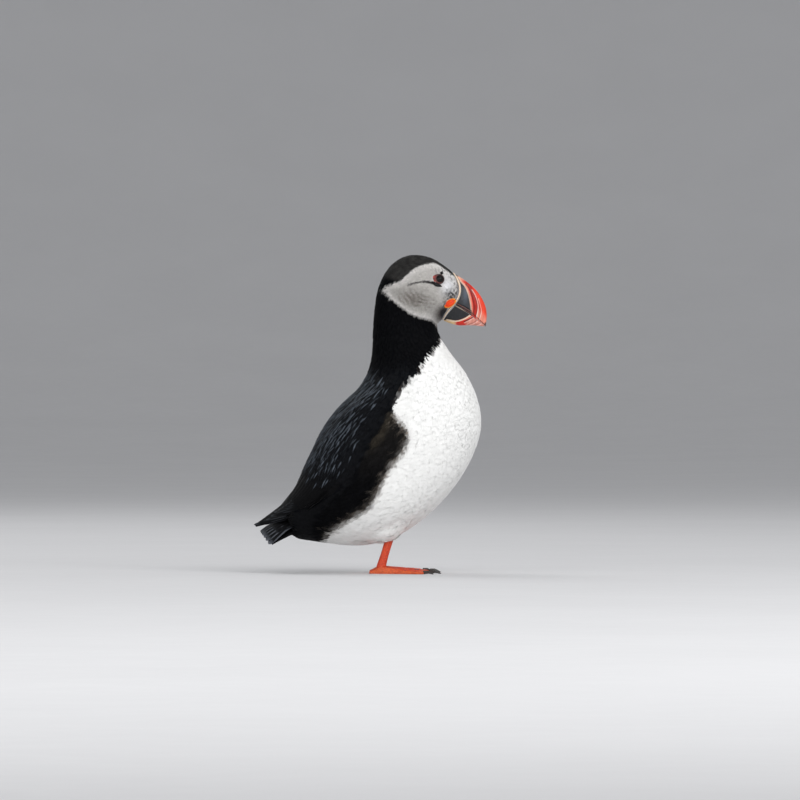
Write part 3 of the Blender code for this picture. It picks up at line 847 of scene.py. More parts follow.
SLATE_SHEEN = tint(86, 94, 106)
CREAM = tint(233, 212, 188)
CREAM_WARM = CREAM * tint(255, 236, 196)
HORN_RED = tint(214, 40, 22)
HORN_ORANGE = tint(236, 66, 36)
HORN_PINK = tint(238, 160, 138)
HORN_PALE = tint(220, 146, 130)
HORN_DARK = tint(112, 18, 14)
LINE_BLACK = tint(22, 18, 18)


def stroke(line, x, z, width):
    """A soft-edged stroke of a width along a line: 1 on it, 0 beside it."""
    off, _ = beside(line_through(line, 5), x, z)
    return 1.0 - smooth(0.35 * width, 0.75 * width, off)


print("lines of the bill:", 7 + len(LOW_GROOVES))


# %% Colours of the two jaws
def upper_colour(points):
    """Slate with a painted sheen, a cream line, dark red, then orange with pale grooves, paler still towards
    the gape, a painted highlight on the ridge and painted shade along the gape.
    """
    x, _, z = points.T
    slate = ahead(SLATE_EDGE, x, z)
    first = ahead(GROOVE_RED, x, z)
    second = ahead(GROOVE_PALE, x, z)
    above_gape, _ = beside(line_through(GAPE, 4), x, z)
    colour = over(plain(HORN_RED, points), HORN_ORANGE, smooth(0.0, 2.0, second))
    colour = over(colour, HORN_DARK, 0.45 * (1 - smooth(0.0, 1.8, np.abs(first - 0.9))))
    low = 1 - smooth(2.0, 7.5, above_gape)
    colour = over(colour, HORN_PINK, 0.75 * low * smooth(-0.4, 0.6, second))
    colour = over(colour, HORN_PINK, 0.85 * (1 - smooth(0.4, 2.0, slate)))
    colour = over(colour, CREAM * 0.72, 1 - smooth(0.15, 0.5, np.abs(slate)))
    # a paler, bluer spot in the middle of the slate: painted sheen
    base = over(plain(SLATE, points), SLATE_SHEEN, 0.8 * soft_spot(x, z, (71.2, 209.5), (1.9, 6.5)))
    colour = over(colour, base, 1 - smooth(-0.55, -0.25, slate))
    # paler along the top ridge near the base: painted highlight
    culmen_highlight = smooth(219.0, 223.0, z) * smooth(-4.0, -1.0, slate)
    colour = over(colour, tint(244, 190, 160), 0.9 * culmen_highlight)
    colour = over(colour, HORN_DARK, 0.9 * stroke(GROOVE_RED, x, z, 0.75))
    pale = stroke(GROOVE_PALE, x, z, 0.8)
    colour = over(colour, tint(250, 214, 202), (0.55 + 0.45 * low) * pale)
    colour = over(colour, HORN_DARK, 0.8 * stroke(np.array(GROOVE_PALE) - (0.75, 0.0), x, z, 0.55))
    colour = over(colour, tint(250, 205, 190), (0.4 + 0.5 * low) * stroke(GROOVE_LAST, x, z, 0.7))
    colour = over(colour, HORN_DARK, 0.6 * stroke(np.array(GROOVE_LAST) - (0.7, 0.0), x, z, 0.45))
    # a dark line along the gape, wider at its back corner, with a dim lip above it: painted shade between the
    # jaws
    lip_shade = bell(above_gape, 0.7, 0.25)
    colour = over(colour, LINE_BLACK, (1 - smooth(1.5, 2.1, above_gape)) * (1 - smooth(75.0, 77.0, x)))
    colour = over(colour, tint(128, 84, 78), lip_shade * (1 - smooth(76.5, 78.5, x)))
    colour = over(colour, LINE_BLACK, 0.9 * smooth(85.2, 86.2, x) * smooth(189.5, 188.0, z))
    return over(colour, LINE_BLACK, 0.8 * (1 - smooth(0.15, 0.5, above_gape)))


def lower_colour(points):
    """Slate within a cream line, red below it, pink with fine grooves in front, and painted shade along the
    gape.
    """
    x, _, z = points.T
    low_rows = line_through(SLATE_LOW, 5)
    off, _ = beside(low_rows, x, z)
    order = np.argsort(low_rows[:, 0])
    slate = np.where(z > np.interp(x, low_rows[order, 0], low_rows[order, 1]), off, -off)
    slate = np.where(x > 76.8, -np.abs(slate), slate)
    below_gape, _ = beside(line_through(GAPE, 4), x, z)
    colour = plain(HORN_PALE, points)
    colour = over(colour, HORN_ORANGE, 0.75 * (1 - smooth(0.6, 2.2, -slate)) * smooth(70.0, 73.0, x))
    colour = over(colour, HORN_RED, (1 - smooth(70.5, 73.0, x)) * smooth(63.2, 65.2, x))
    colour = over(colour, CREAM_WARM, 1 - smooth(62.2, 64.8, x))
    for groove, dark in zip(LOW_GROOVES, (0.95, 0.35, 0.3)):
        colour = over(colour, HORN_DARK, dark * stroke(groove, x, z, 0.8))
        colour = over(colour, tint(246, 200, 190), 0.6 * stroke(np.array(groove) + (0.3, -0.8), x, z, 0.6))
    colour = over(colour, CREAM, 1 - smooth(0.3, 0.7, np.abs(slate)))
    colour = over(colour, SLATE * 0.55, smooth(0.4, 0.8, slate))
    colour = over(colour, CREAM * 0.7, 0.75 * bell(below_gape, 1.25, 0.3) * smooth(0, 1, slate))
    # a dark line along the gape: painted shade between the jaws
    colour = over(colour, LINE_BLACK, 1 - smooth(0.5, 0.95, below_gape))
    return over(colour, LINE_BLACK, 0.85 * smooth(84.6, 85.8, x))


print("painters of the bill: upper_colour and lower_colour")

# %% The two jaws
BILL_VOXEL = 0.26
NOSTRIL = ((69.4, 201.6), (71.6, 200.1), (73.4, 198.9))
BESIDE_SLATE = (1.1, 0.3)  # a low ridge runs in front of the slate's edge
UPPER_GROOVES = (  # line, half width, depth
    (GROOVE_RED, 0.55, 0.38),
    (GROOVE_PALE, 0.55, 0.36),
    (GROOVE_LAST, 0.5, 0.3),
    (SLATE_EDGE, 0.5, 0.14),
    (NOSTRIL, 0.32, 0.6),
    (np.array(SLATE_EDGE) + BESIDE_SLATE, 0.7, -0.16),
)
LOW_DEPTHS = (0.34, 0.22, 0.18, 0.12)


def press(piece, line, width, depth):
    """Presses a groove into both sides of a piece along a line of the side view."""
    spots = read(piece)
    off, _ = beside(line_through(line, 5), spots[:, 0], spots[:, 2])
    write(piece, spots - read(piece, "normal") * (depth * bell(off, 0.0, width))[:, None])


bill_upper = smooth_copy("bill_upper", "horn_upper", BILL_VOXEL)
for line, width, depth in UPPER_GROOVES:
    press(bill_upper, line, width, depth)
bill_lower = smooth_copy("bill_lower", "horn_lower", BILL_VOXEL)
for line, depth in zip((*LOW_GROOVES, SLATE_LOW), LOW_DEPTHS):
    press(bill_lower, line, 0.5, depth)
upper_paint = upper_colour(read(bill_upper))
# the nostril slit is painted black: painted shade in its opening
nostril_off, _ = beside(line_through(NOSTRIL, 4), *read(bill_upper)[:, [0, 2]].T)
paint(bill_upper, over(upper_paint, LINE_BLACK, 1 - smooth(0.15, 0.4, nostril_off)))
paint(bill_lower, lower_colour(read(bill_lower)))
print("jaws:", triangles(bill_upper), "and", triangles(bill_lower), "triangles")

# %% [markdown]
# Horn is smooth but not glassy. Fine growth lines run across it, a little chalk has rubbed off on its red,
# and it is worn darker in streaks. All three come from noise stretched along the bill.

# %% Finish of the horn
horn = Bench("bill_horn")
colour, _ = horn.paint()
streak = horn.grain(1.6, 4.0, stretch=(1.0, 0.5, 0.28))
fleck = horn.grain(0.5, 3.0)
worn = horn.mix(horn.rise(streak, 0.35, 0.75, 0.0, 0.30), colour, (0.20, 0.03, 0.02), "MULTIPLY")
chalk = horn.rise(horn.grain(3.5, 5.0), 0.55, 0.8, 0.0, 0.08)
horn.set(Base_Color=horn.mix(chalk, worn, (0.85, 0.72, 0.62)))
horn.rough(fleck, 0.34, 0.5)
horn.set(Specular_IOR_Level=0.3, Coat_Weight=0.08, Coat_Roughness=0.3)
horn.bump((streak, 0.35, 0.12), (fleck, 0.25, 0.05))
for piece, node in ((bill_upper, "bill_upper"), (bill_lower, "bill_lower")):
    dress(piece, horn)
    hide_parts(node)
print("horn finish:", len(horn.tree.nodes), "nodes")

# %% [markdown]
# A cream rim of softer horn, pitted like a thimble, borders the face. Its front half is cream, and its
# back half is greyer skin that the small feathers of the face run up to.

# %% The rim round the base of the bill
rim = smooth_copy("cere", "bill_rim", 0.3, 2)
spots = read(rim)
behind = -ahead(HORN_EDGE, spots[:, 0], spots[:, 2])
swell = 0.3 * bell(behind, 1.0, 0.8) - 0.12
write(rim, spots + read(rim, "normal") * swell[:, None])
rim_colour = over(plain(CREAM, spots), tint(168, 156, 156), smooth(1.5, 2.0, behind))
rim_colour = over(rim_colour, SOOT, 0.7 * smooth(0.3, 0.7, drift(spots, 2.2, 4)) * smooth(1.7, 2.2, behind))
paint(rim, rim_colour)
thimble = Bench("cream_rim")
colour, _ = thimble.paint()
pits = thimble.cells(0.55)
# darker in the middle of each pit: painted shade
thimble.set(Base_Color=thimble.mix(thimble.rise(pits, 0.15, 0.5, 0.28, 0.0), colour, (0.35, 0.20, 0.12)))
thimble.rough(thimble.grain(0.8), 0.42, 0.6)
thimble.bump((pits, 0.55, 0.16), (thimble.grain(1.2), 0.4, 0.12))
dress(rim, thimble)
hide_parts("cere")
print("rim:", triangles(rim), "triangles")

# %% [markdown]
# ## Eyes
# The eye is a dark, wet ball set low in the feathers, with a clear bulge of cornea at its middle. A red
# ring of bare skin holds it, wider behind, and two small slate plates sit above and below, which give a
# puffin its wise look. A ball on its own reads as a bead, so the ring is modelled round it and overlaps it.

# %% Where an eye sits and looks
CORNEA = 0.28  # how far it bulges
IRIS = 2.0
EYE_SET = (0.4, 0.0, 0.7)  # how far back and down the ball sits from the solid's middle


def eye_frame(side):
    """The eye's middle, and the way it looks: the way the face's skin faces round about it."""
    low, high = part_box("eye_right" if side < 0 else "eye_left")
    middle = np.array((low + high) / 2) / MM
    radius = (high.z - low.z) / 2 / MM
    ways = [skin_ground.from_side(side, middle[0] + dx, middle[2] + dz)[1]
            for dx in (-6, 0, 6) for dz in (-5, 0, 5)]
    way = np.mean(ways, axis=0) * (0.6, 1.0, 0.6)
    return middle - EYE_SET, radius, unit(way[None])[0]


def turn_to(way):
    """The rotation that stands a shape's own Z axis along a direction, its Y axis upwards."""
    return Vector(way).to_track_quat("Z", "Y").to_euler()


print("cornea bulges", CORNEA, "mm")

# %% Eyeballs
eye_look = Bench("wet_eye")
colour, _ = eye_look.paint()
rays = eye_look.grain(0.5, 4.0)
ray_dark = eye_look.rise(rays, 0.3, 0.7, 0.0, 0.4)
eye_look.set(Base_Color=eye_look.mix(ray_dark, colour, (0.001, 0.001, 0.001)))
eye_look.set(Roughness=eye_look.rise(rays, 0.2, 0.8, 0.05, 0.09), Specular_IOR_Level=0.2)
eye_look.set(Coat_Weight=0.15, Coat_Roughness=0.02)
for side, word in ((-1.0, "right"), (1.0, "left")):
    middle, radius, way = eye_frame(side)
    bpy.ops.mesh.primitive_uv_sphere_add(segments=48, ring_count=24, radius=radius * MM,
                                         location=middle * MM, rotation=turn_to(way))
    eye = added("eyeball_" + word)
    settle(eye)
    spots = read(eye)
    from_axis = np.linalg.norm(np.cross(spots - middle, way), axis=1)
    from_axis = np.where((spots - middle) @ way > 0, from_axis, radius + 1)
    spots = spots + (CORNEA * (1 - smooth(0.0, 2.6, from_axis)))[:, None] * way
    write(eye, spots)
    iris = over(plain(tint(20, 14, 12), spots), tint(2, 2, 3), 1 - smooth(IRIS - 0.4, IRIS, from_axis))
    paint(eye, over(iris, tint(12, 10, 10), smooth(2.3, 2.6, from_axis)))
    bpy.ops.object.shade_smooth()
    dress(eye, eye_look)
    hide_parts("eye_" + word)
print("eye radius:", round(radius, 2), "mm, looking", np.round(way, 2))

# %% The red ring round each eye
RING_RADIUS = 3.25
RING_THICK = 0.55
RING_REAR = 1.9  # how much wider it is behind the eye

ring_look = Bench("eye_ring_skin")
colour, _ = ring_look.paint()
pleat = ring_look.grain(0.5, 4.0)
pleat_dark = ring_look.rise(pleat, 0.35, 0.7, 0.0, 0.4)
ring_look.set(Base_Color=ring_look.mix(pleat_dark, colour, (0.10, 0.01, 0.008)))
ring_look.rough(pleat, 0.35, 0.55)
ring_look.bump((pleat, 0.6, 0.15))


def around(points, middle, way):
    """Polar places about an axis: distance from it, turn from straight behind, and height along it."""
    back = unit(np.cross(np.cross(way, (-1.0, 0.0, 0.0)), way)[None])[0]
    up = unit(np.cross(back, way)[None])[0] * -np.sign(way[1])
    off = points - middle
    return np.hypot(off @ back, off @ up), np.arctan2(off @ up, off @ back), off @ way, back, up


for side, word in ((-1.0, "right"), (1.0, "left")):
    middle, radius, way = eye_frame(side)
    seat = middle + way * math.sqrt(radius ** 2 - (RING_RADIUS - 0.45) ** 2)
    bpy.ops.mesh.primitive_torus_add(major_segments=72, minor_segments=14, location=seat * MM,
                                     major_radius=RING_RADIUS * MM, minor_radius=RING_THICK * MM,
                                     rotation=turn_to(way))
    ring = added("eye_ring_" + word)
    settle(ring)
    spots = read(ring)
    far, turn, height, back, up = around(spots, seat, way)
    rear = bell(turn, 0.1, 0.75)
    outer = smooth(RING_RADIUS - 0.3, RING_RADIUS + RING_THICK, far)
    far = far + RING_REAR * rear * outer + 0.05 * np.sin(19 * turn) * outer
    far = far - 0.25 * smooth(1.9, 2.8, np.abs(turn)) * outer
    height = height * 0.8 - 0.75 * rear * outer
    turned = np.cos(turn)[:, None] * back + np.sin(turn)[:, None] * up
    write(ring, seat + far[:, None] * turned + height[:, None] * way)
    red = over(plain(tint(84, 20, 16), spots), tint(196, 62, 46), 0.9 * rear * outer)
    # pale pink along the outer edge of the rear lobe: painted highlight
    red = over(red, tint(224, 142, 124), 0.5 * rear * smooth(0.75, 1.0, outer))
    red = over(red, tint(60, 18, 16), 0.8 * smooth(0.1, 0.5, drift(spots, 1.3, 3)))
    dark = smooth(0.5, 1.2, turn) + smooth(2.2, 2.8, -turn)
    dark = dark + smooth(-2.9, -2.2, turn) * smooth(-1.6, -2.4, turn)
    red = over(red, LINE_BLACK, 0.92 * np.clip(dark, 0, 1))
    paint(ring, over(red, LINE_BLACK, 0.9 * (1 - smooth(RING_RADIUS - 0.55, RING_RADIUS - 0.25, far))))
    bpy.ops.object.shade_smooth()
    dress(ring, ring_look)
print("ring:", triangles(ring), "triangles")

# %% [markdown]
# The plates are little pads of slate horn. Each starts as a ball squeezed flat, and is then shaped by
# moving its points: the upper one narrows to a point, the lower one is a bar that follows the lid. On the
# solid there is nothing to start from, so they are stood on the skin, as high as the feathers round them.

# %% Slate plates above and below each eye
PLATES = (  # name, x, z, half length, half height, tilt, how much it narrows upwards
    ("upper", 53.2, 225.9, 1.5, 1.6, -18.0, 0.75),
    ("lower", 49.2, 217.0, 4.5, 1.5, -19.0, 0.0),
)
PLATE_THICK = 0.42
plate_look = Bench("slate_plate")
tone = plate_look.grain(0.7, 4.0)
plate_look.set(Base_Color=plate_look.mix(plate_look.rise(tone, 0.3, 0.7), tint(17, 15, 16), tint(8, 7, 8)))
plate_look.rough(tone, 0.45, 0.65)
plate_look.set(Specular_IOR_Level=0.2)
plate_look.bump((tone, 0.5, 0.1))
for side, word in ((-1.0, "right"), (1.0, "left")):
    for name, x, z, half_long, half_high, tilt, narrow in PLATES:
        spot, way = skin_ground.from_side(side, x, z)
        bpy.ops.mesh.primitive_uv_sphere_add(segments=28, ring_count=14, radius=MM)
        plate = added("eye_plate_" + name + "_" + word)
        points = read(plate)
        rise = points[:, 2].copy()
        points[:, 0] *= half_long * (1.0 - narrow * smooth(-0.6, 1.0, rise))
        points[:, 2] *= half_high * (1.0 - 0.45 * np.abs(points[:, 0] / half_long))
        points[:, 1] *= PLATE_THICK
        if name == "lower":
            points[:, 2] += 0.9 * smooth(1.0, 4.0, -points[:, 0])
        angle = math.radians(tilt)
        along = points[:, 0] * math.cos(angle) - points[:, 2] * math.sin(angle)
        up = points[:, 0] * math.sin(angle) + points[:, 2] * math.cos(angle)
        laid = np.stack([x + along, np.full(len(up), side * 40.0), z + up], axis=1)
        ground = np.array([skin_ground.from_side(side, *p)[0] for p in laid[:, [0, 2]]])
        depth = plumage_depth(np.array([spot]))[0] - 0.1
        write(plate, ground + (depth + points[:, 1:2]) * way)
        pick(plate)
        bpy.ops.object.mode_set(mode="EDIT")
        bpy.ops.mesh.select_all(action="SELECT")
        bpy.ops.mesh.normals_make_consistent(inside=False)
        bpy.ops.object.mode_set(mode="OBJECT")
        bpy.ops.object.shade_smooth()
        dress(plate, plate_look)
print("plates:", len(PLATES) * 2)

# %% [markdown]
# ## Rosettes
# Where the jaws meet sits a swelling of soft orange skin, which stretches when the bill opens. It is an
# oval pad with a yellow border and pleats along it, like a folded cloth. The pleats are pressed into a fine
# ball along its length.

# %% Finish and sizes of the rosettes
ROSETTE_TILT = math.radians(32)
ROSETTE_LONG = 5.3  # half its length, then its thickness and its height
ROSETTE_THICK = 2.3
ROSETTE_HIGH = 2.8
rosette_look = Bench("rosette_skin")
colour, _ = rosette_look.paint()
crumple = rosette_look.grain(0.9, 4.0)
crumple_deep = rosette_look.rise(crumple, 0.4, 0.7, 0.0, 0.45)
rosette_look.set(Base_Color=rosette_look.mix(crumple_deep, colour, tint(215, 60, 10)))
rosette_look.rough(crumple, 0.35, 0.5)
rosette_look.set(Specular_IOR_Level=0.35, Subsurface_Weight=0.06)
rosette_look.set(Subsurface_Radius=(1.0, 0.4, 0.2), Subsurface_Scale=0.7 * MM)
rosette_look.bump((crumple, 0.6, 0.2), (rosette_look.cells(0.5), 0.3, 0.08))
print("rosette:", 2 * ROSETTE_LONG, "mm long")

# %% Rosettes at the corners of the bill
for side, word in ((-1.0, "right"), (1.0, "left")):
    low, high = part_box("rosette_" + word)
    middle = np.array((low + high) / 2) / MM
    bpy.ops.mesh.primitive_uv_sphere_add(segments=64, ring_count=40, radius=MM, location=middle * MM,
                                         rotation=(0.0, -ROSETTE_TILT, 0.0))
    rosette = added("rosette_pad_" + word)
    bpy.ops.object.mode_set(mode="EDIT")
    bpy.ops.mesh.select_all(action="SELECT")
    bpy.ops.transform.resize(value=(ROSETTE_LONG, ROSETTE_THICK, ROSETTE_HIGH), orient_type="LOCAL")
    bpy.ops.object.mode_set(mode="OBJECT")
    settle(rosette)
    points = read(rosette)
    off = points - middle
    along = off[:, 0] * math.cos(ROSETTE_TILT) + off[:, 2] * math.sin(ROSETTE_TILT)
    across = off[:, 2] * math.cos(ROSETTE_TILT) - off[:, 0] * math.sin(ROSETTE_TILT)
    radius = np.hypot(along / ROSETTE_LONG, across / ROSETTE_HIGH)
    pleats = 0.13 * np.cos(4.4 * across + 0.5 * np.sin(along)) * (1 - smooth(0.55, 0.9, radius))
    border = 0.3 * bell(radius, 0.82, 0.09) - 0.25 * bell(radius, 0.66, 0.08)
    slit = -0.5 * bell(across, -0.1, 0.28) * smooth(-1.5, 1.5, along)
    write(rosette, points + read(rosette, "normal") * (pleats + border + slit)[:, None])
    orange = over(plain(tint(238, 66, 3), points), tint(246, 156, 34), smooth(0.72, 0.85, radius))
    # darker red in the groove inside the border and in the slit along the middle: painted shade
    orange = over(orange, tint(190, 44, 8), 0.6 * bell(radius, 0.68, 0.07))
    paint(rosette, over(orange, tint(170, 34, 8), 0.7 * np.clip(-slit * 2, 0, 1)))
    bpy.ops.object.shade_smooth()
    dress(rosette, rosette_look)
    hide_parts("rosette_" + word)
print("rosettes:", triangles(rosette), "triangles each")

# %% [markdown]
# ## Legs and feet
# Shank and webbed foot are one piece of orange-red, scaly skin, so the two solids are joined, melted
# together and meshed finely. Scales are pressed in where the real ones are: broad plates across the front
# of the shank and over the toes, small round ones behind and on the webs.

# %% Finish of the legs
leg_look = Bench("leg_skin")
colour, _ = leg_look.paint()
scale_edge = leg_look.cells(1.15, "DISTANCE_TO_EDGE")
blotch = leg_look.grain(4.0, 4.0)
soft = leg_look.mix(leg_look.rise(blotch, 0.35, 0.75, 0.0, 0.45), colour, tint(196, 52, 24))
seam = leg_look.rise(scale_edge, 0.0, 0.14, 0.55, 0.0)
leg_look.set(Base_Color=leg_look.mix(seam, soft, tint(130, 34, 18)))
leg_look.rough(blotch, 0.38, 0.56)
leg_look.bump((leg_look.rise(scale_edge, 0.0, 0.2), 0.6, 0.16), (leg_look.grain(0.5), 0.3, 0.06))


print("leg finish:", len(leg_look.tree.nodes), "nodes")

# %% Where things are on a leg
HEEL = 4.0
LEG_SPREAD = 21.0
TOES = ((-27.0, 33.0), (0.0, 41.5), (23.0, 39.5))  # degrees outwards, length


def shank_x(z):
    """Where the middle of the leaning shank is at a height."""
    return 7.5 + (z - 3.9) * 0.299


def toe_places(points, side):
    """For points of a foot: distance from the heel and beside the nearest toe, its length, and the turn."""
    ahead_x = points[:, 0] - HEEL
    out = side * points[:, 1] - LEG_SPREAD
    far = np.hypot(ahead_x, out)
    turn = np.degrees(np.arctan2(out, ahead_x))
    beside_all = np.array([np.abs(far * np.sin(np.radians(turn - toe))) for toe, _ in TOES])
    nearest = beside_all.argmin(axis=0)
    return far, beside_all.min(axis=0), np.array([length for _, length in TOES])[nearest], turn


print("the shank leans from x", round(shank_x(4.0), 1), "to", round(shank_x(29.0), 1))

# %% Legs
LEG_VOXEL = 0.42
TOE_JOINTS = (0.36, 0.62, 0.84)  # shares of a toe's length

for side, word in ((-1.0, "right"), (1.0, "left")):
    leg = joined("leg_" + word, [copy_of("shank_" + word), copy_of("foot_" + word)])
    modify(leg, "DISPLACE", strength=0.2 * MM, mid_level=0.0)
    modify(leg, "REMESH", mode="VOXEL", voxel_size=LEG_VOXEL * MM)
    modify(leg, "SMOOTH", factor=0.5, iterations=6)
    points = read(leg)
    far, off_toe, length, turn = toe_places(points, side)
    on_foot = 1 - smooth(4.5, 7.0, points[:, 2])
    on_toe = on_foot * (1 - smooth(1.6, 2.9, off_toe)) * smooth(1.2, 2.2, points[:, 2])
    plates = np.abs(np.sin(math.pi * far / 2.1)) ** 0.5
    joints = sum(bell(far / length, share, 0.022) for share in TOE_JOINTS)
    relief = 0.26 * on_toe * (plates - 1.0) - 0.35 * on_toe * joints
    on_shank = smooth(5.5, 8.0, points[:, 2])
    front = smooth(-0.2, 1.2, points[:, 0] - shank_x(points[:, 2]))
    relief += 0.24 * on_shank * front * (np.abs(np.sin(math.pi * points[:, 2] / 1.9)) ** 0.5 - 1.0)
    folds = on_foot * (1 - on_toe) * smooth(0.4, 1.0, points[:, 2])
    relief += 0.12 * folds * np.sin(1.5 * turn + 0.6 * np.sin(0.4 * far))
    points = points + read(leg, "normal") * (relief - 0.12)[:, None]
    points[:, 2] = np.maximum(points[:, 2], 0.0)
    write(leg, points)
    base = over(plain(tint(226, 76, 32), points), tint(234, 112, 52), 0.8 * on_foot * (1 - on_toe))
    base = over(base, tint(150, 42, 20), 0.7 * np.clip(-relief / 0.3, 0, 1))
    paint(leg, base)
    pick(leg)
    bpy.ops.object.shade_smooth()
    dress(leg, leg_look)
    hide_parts("shank_" + word, "foot_" + word)
print("leg:", triangles(leg), "triangles")

# %% [markdown]
# A puffin digs its burrow with its claws, so they are stout, blunt and ridged. Each is a fine copy of its
# solid, swollen a little, and drawn back into the toe so that no gap shows where horn meets skin.

# %% Claws
CLAW_VOXEL = 0.22
CLAW_SWELL = 0.35
CLAW_ROOT = 1.2  # how far its back end reaches into the toe

claw_look = Bench("claw_horn")
ridge = claw_look.grain(1.2, 4.0, stretch=(0.3, 1.0, 1.0))
horn_tone = claw_look.rise(ridge, 0.3, 0.75)
claw_look.set(Base_Color=claw_look.mix(horn_tone, tint(20, 17, 16), tint(52, 42, 36)))
claw_look.rough(ridge, 0.25, 0.45)
claw_look.set(Coat_Weight=0.2, Coat_Roughness=0.25)
claw_look.bump((ridge, 0.5, 0.1))
for word in ("right", "left"):
    for toe in ("inner", "middle", "outer"):
        node = "claw_" + word + "_" + toe
        claw = copy_of(node)
        modify(claw, "DISPLACE", strength=CLAW_SWELL * MM, mid_level=0.0)
        modify(claw, "REMESH", mode="VOXEL", voxel_size=CLAW_VOXEL * MM)
        modify(claw, "SMOOTH", factor=0.5, iterations=4)
        points = read(claw)
        back = smooth(points[:, 0].min() + 2.5, points[:, 0].min(), points[:, 0])
        points[:, 0] -= CLAW_ROOT * back
        points[:, 2] = np.maximum(points[:, 2], 0.0)
        write(claw, points)
        claw = joined("talon_" + word + "_" + toe, [claw])
        bpy.ops.object.shade_smooth()
        dress(claw, claw_look)
        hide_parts(node)
print("claws:", triangles(claw), "triangles each")

# %% [markdown]
# ## Feathers
# Hair curves would be quick to comb, but they don't leave Blender as a mesh. So each kind of feather is
# modelled once, from a few closed blades, and copied by the thousand into ordinary meshes. A blade stands
# on its root: a cone is its tip, the cone's base is extruded down ring by ring, and the last ring is merged
# to a point. Six triangles make a barb or a leaf. A quill takes seventy-two, since its tip narrows evenly,
# and so does a tail feather, the rectrix, whose tip is rounder.

# %% Modelling the blades
def blade(name, sides, rings):
    """Points (along, across, up) and triangles of a closed blade; rings are (place along, half width)."""
    place, wide = rings[0]
    bpy.ops.mesh.primitive_cone_add(vertices=sides, radius1=wide, radius2=0.0, depth=1.0 - place,
                                    end_fill_type="NGON", location=(0.0, 0.0, (1.0 + place) / 2))
    made = added(name)
    settle(made)
    bpy.ops.object.mode_set(mode="EDIT")
    bpy.ops.mesh.select_mode(type="FACE")
    bpy.ops.mesh.select_all(action="DESELECT")
    bpy.ops.object.mode_set(mode="OBJECT")
    for face in made.data.polygons:
        face.select = face.normal.z < -0.9
    bpy.ops.object.mode_set(mode="EDIT")
    for next_place, next_wide in rings[1:]:
        bpy.ops.mesh.extrude_region_move(TRANSFORM_OT_translate={"value": (0.0, 0.0, next_place - place)})
        bpy.ops.transform.resize(value=(next_wide / wide, next_wide / wide, 1.0))
        place, wide = next_place, next_wide
    bpy.ops.mesh.extrude_region_move(TRANSFORM_OT_translate={"value": (0.0, 0.0, -place)})
    bpy.ops.mesh.merge(type="CENTER")
    bpy.ops.mesh.select_all(action="SELECT")
    bpy.ops.mesh.quads_convert_to_tris()
    bpy.ops.mesh.normals_make_consistent(inside=False)
    bpy.ops.object.mode_set(mode="OBJECT")
    points = read(made)[:, [2, 0, 1]] * MM
    faces = np.array([tuple(face.vertices) for face in made.data.polygons])
    bpy.data.objects.remove(made)
    return points, faces


QUILL_RINGS = ((0.98, 0.28), (0.92, 0.58), (0.8, 0.86), (0.55, 1.0), (0.3, 0.85), (0.1, 0.5))
RECTRIX_RINGS = ((0.985, 0.38), (0.95, 0.72), (0.86, 0.95), (0.6, 1.0), (0.3, 0.85), (0.1, 0.5))

BARB = blade("barb", 3, ((0.42, 1.0),))
LEAF = blade("leaf", 3, ((0.66, 1.0),))
RECTRIX = blade("rectrix", 6, RECTRIX_RINGS)
QUILL = blade("quill", 6, QUILL_RINGS)
print("barb:", len(BARB[1]), "leaf:", len(LEAF[1]), "quill:", len(QUILL[1]), "triangles")


# %% [markdown]
# Real feathers of a coat are loose: their barbs part towards the tip. A kind of feather is therefore a fan of
# a few blades bound at the root, broad and flat for silk and coverts, narrow and lifted for fluff. A quill
# stays one stiff blade. Few blades, many feathers: that is what keeps the whole coat light.

# %% Binding blades into kinds of feather
def bound(*parts, ridge=1.0):
    """Blades bound at the root. Each is (blade, reach, half width, thickness, aim of its tip, rise)."""
    points, faces, count = [], [], 0
    for (shape, mesh_faces), reach, wide, thick, aim, rise in parts:
        along = np.maximum(shape[:, 0], 0.0) * reach
        across = shape[:, 1] * wide + aim * along ** 0.8
        up = shape[:, 2] * thick + rise * along ** 2
        points.append(np.stack([along, across, up, shape[:, 1] * ridge], axis=1))
        faces.append(mesh_faces + count)
        count += len(shape)
    return np.vstack(points), np.vstack(faces)


def fan(shape, count, wide, thick, spread, uneven, rise, seed):
    """Narrow blades side by side, their tips spread out and uneven."""
    chance = np.random.default_rng(seed)
    parts = []
    for k in range(count):
        aim = spread * (2.0 * k / (count - 1) - 1.0) + chance.uniform(-0.06, 0.06)
        reach = 1.0 - uneven * chance.uniform(0.0, 1.0) - 0.15 * abs(aim)
        parts.append((shape, reach, wide, thick, aim, rise * chance.uniform(0.2, 1.2)))
    return parts


SILK = bound(*fan(LEAF, 10, 0.17, 0.05, 0.92, 0.3, 0.0, 11), ridge=0.3)  # breast and belly
VELVET = bound(*fan(BARB, 6, 0.26, 0.16, 0.85, 0.25, 0.12, 12))  # crown and neck
CHEEK = bound(*fan(BARB, 5, 0.26, 0.16, 0.9, 0.25, 0.08, 14))
FLUFF = bound(*fan(BARB, 9, 0.11, 0.10, 1.15, 0.36, 0.4, 13))  # flanks
WISP = bound(*fan(BARB, 5, 0.08, 0.07, 0.9, 0.4, 0.3, 17))  # the flanks' pale border
COVERT = bound(*fan(LEAF, 6, 0.32, 0.07, 0.8, 0.14, 0.0, 16), ridge=0.4)  # back and wings
SHEEN_STREAK = bound(*fan(LEAF, 3, 0.15, 0.05, 0.26, 0.4, 0.0, 15), ridge=0.5)  # pale barbs on the back, painted sheen
FLIGHT = bound((QUILL, 1.0, 1.0, 0.07, 0.0, 0.0))
TAIL = bound((RECTRIX, 1.0, 1.0, 0.06, 0.0, 0.0))
KINDS = (("silk", SILK), ("velvet", VELVET), ("cheek", CHEEK), ("fluff", FLUFF), ("covert", COVERT))
for name, kind in KINDS:
    print(name, len(kind[1]), "triangles")

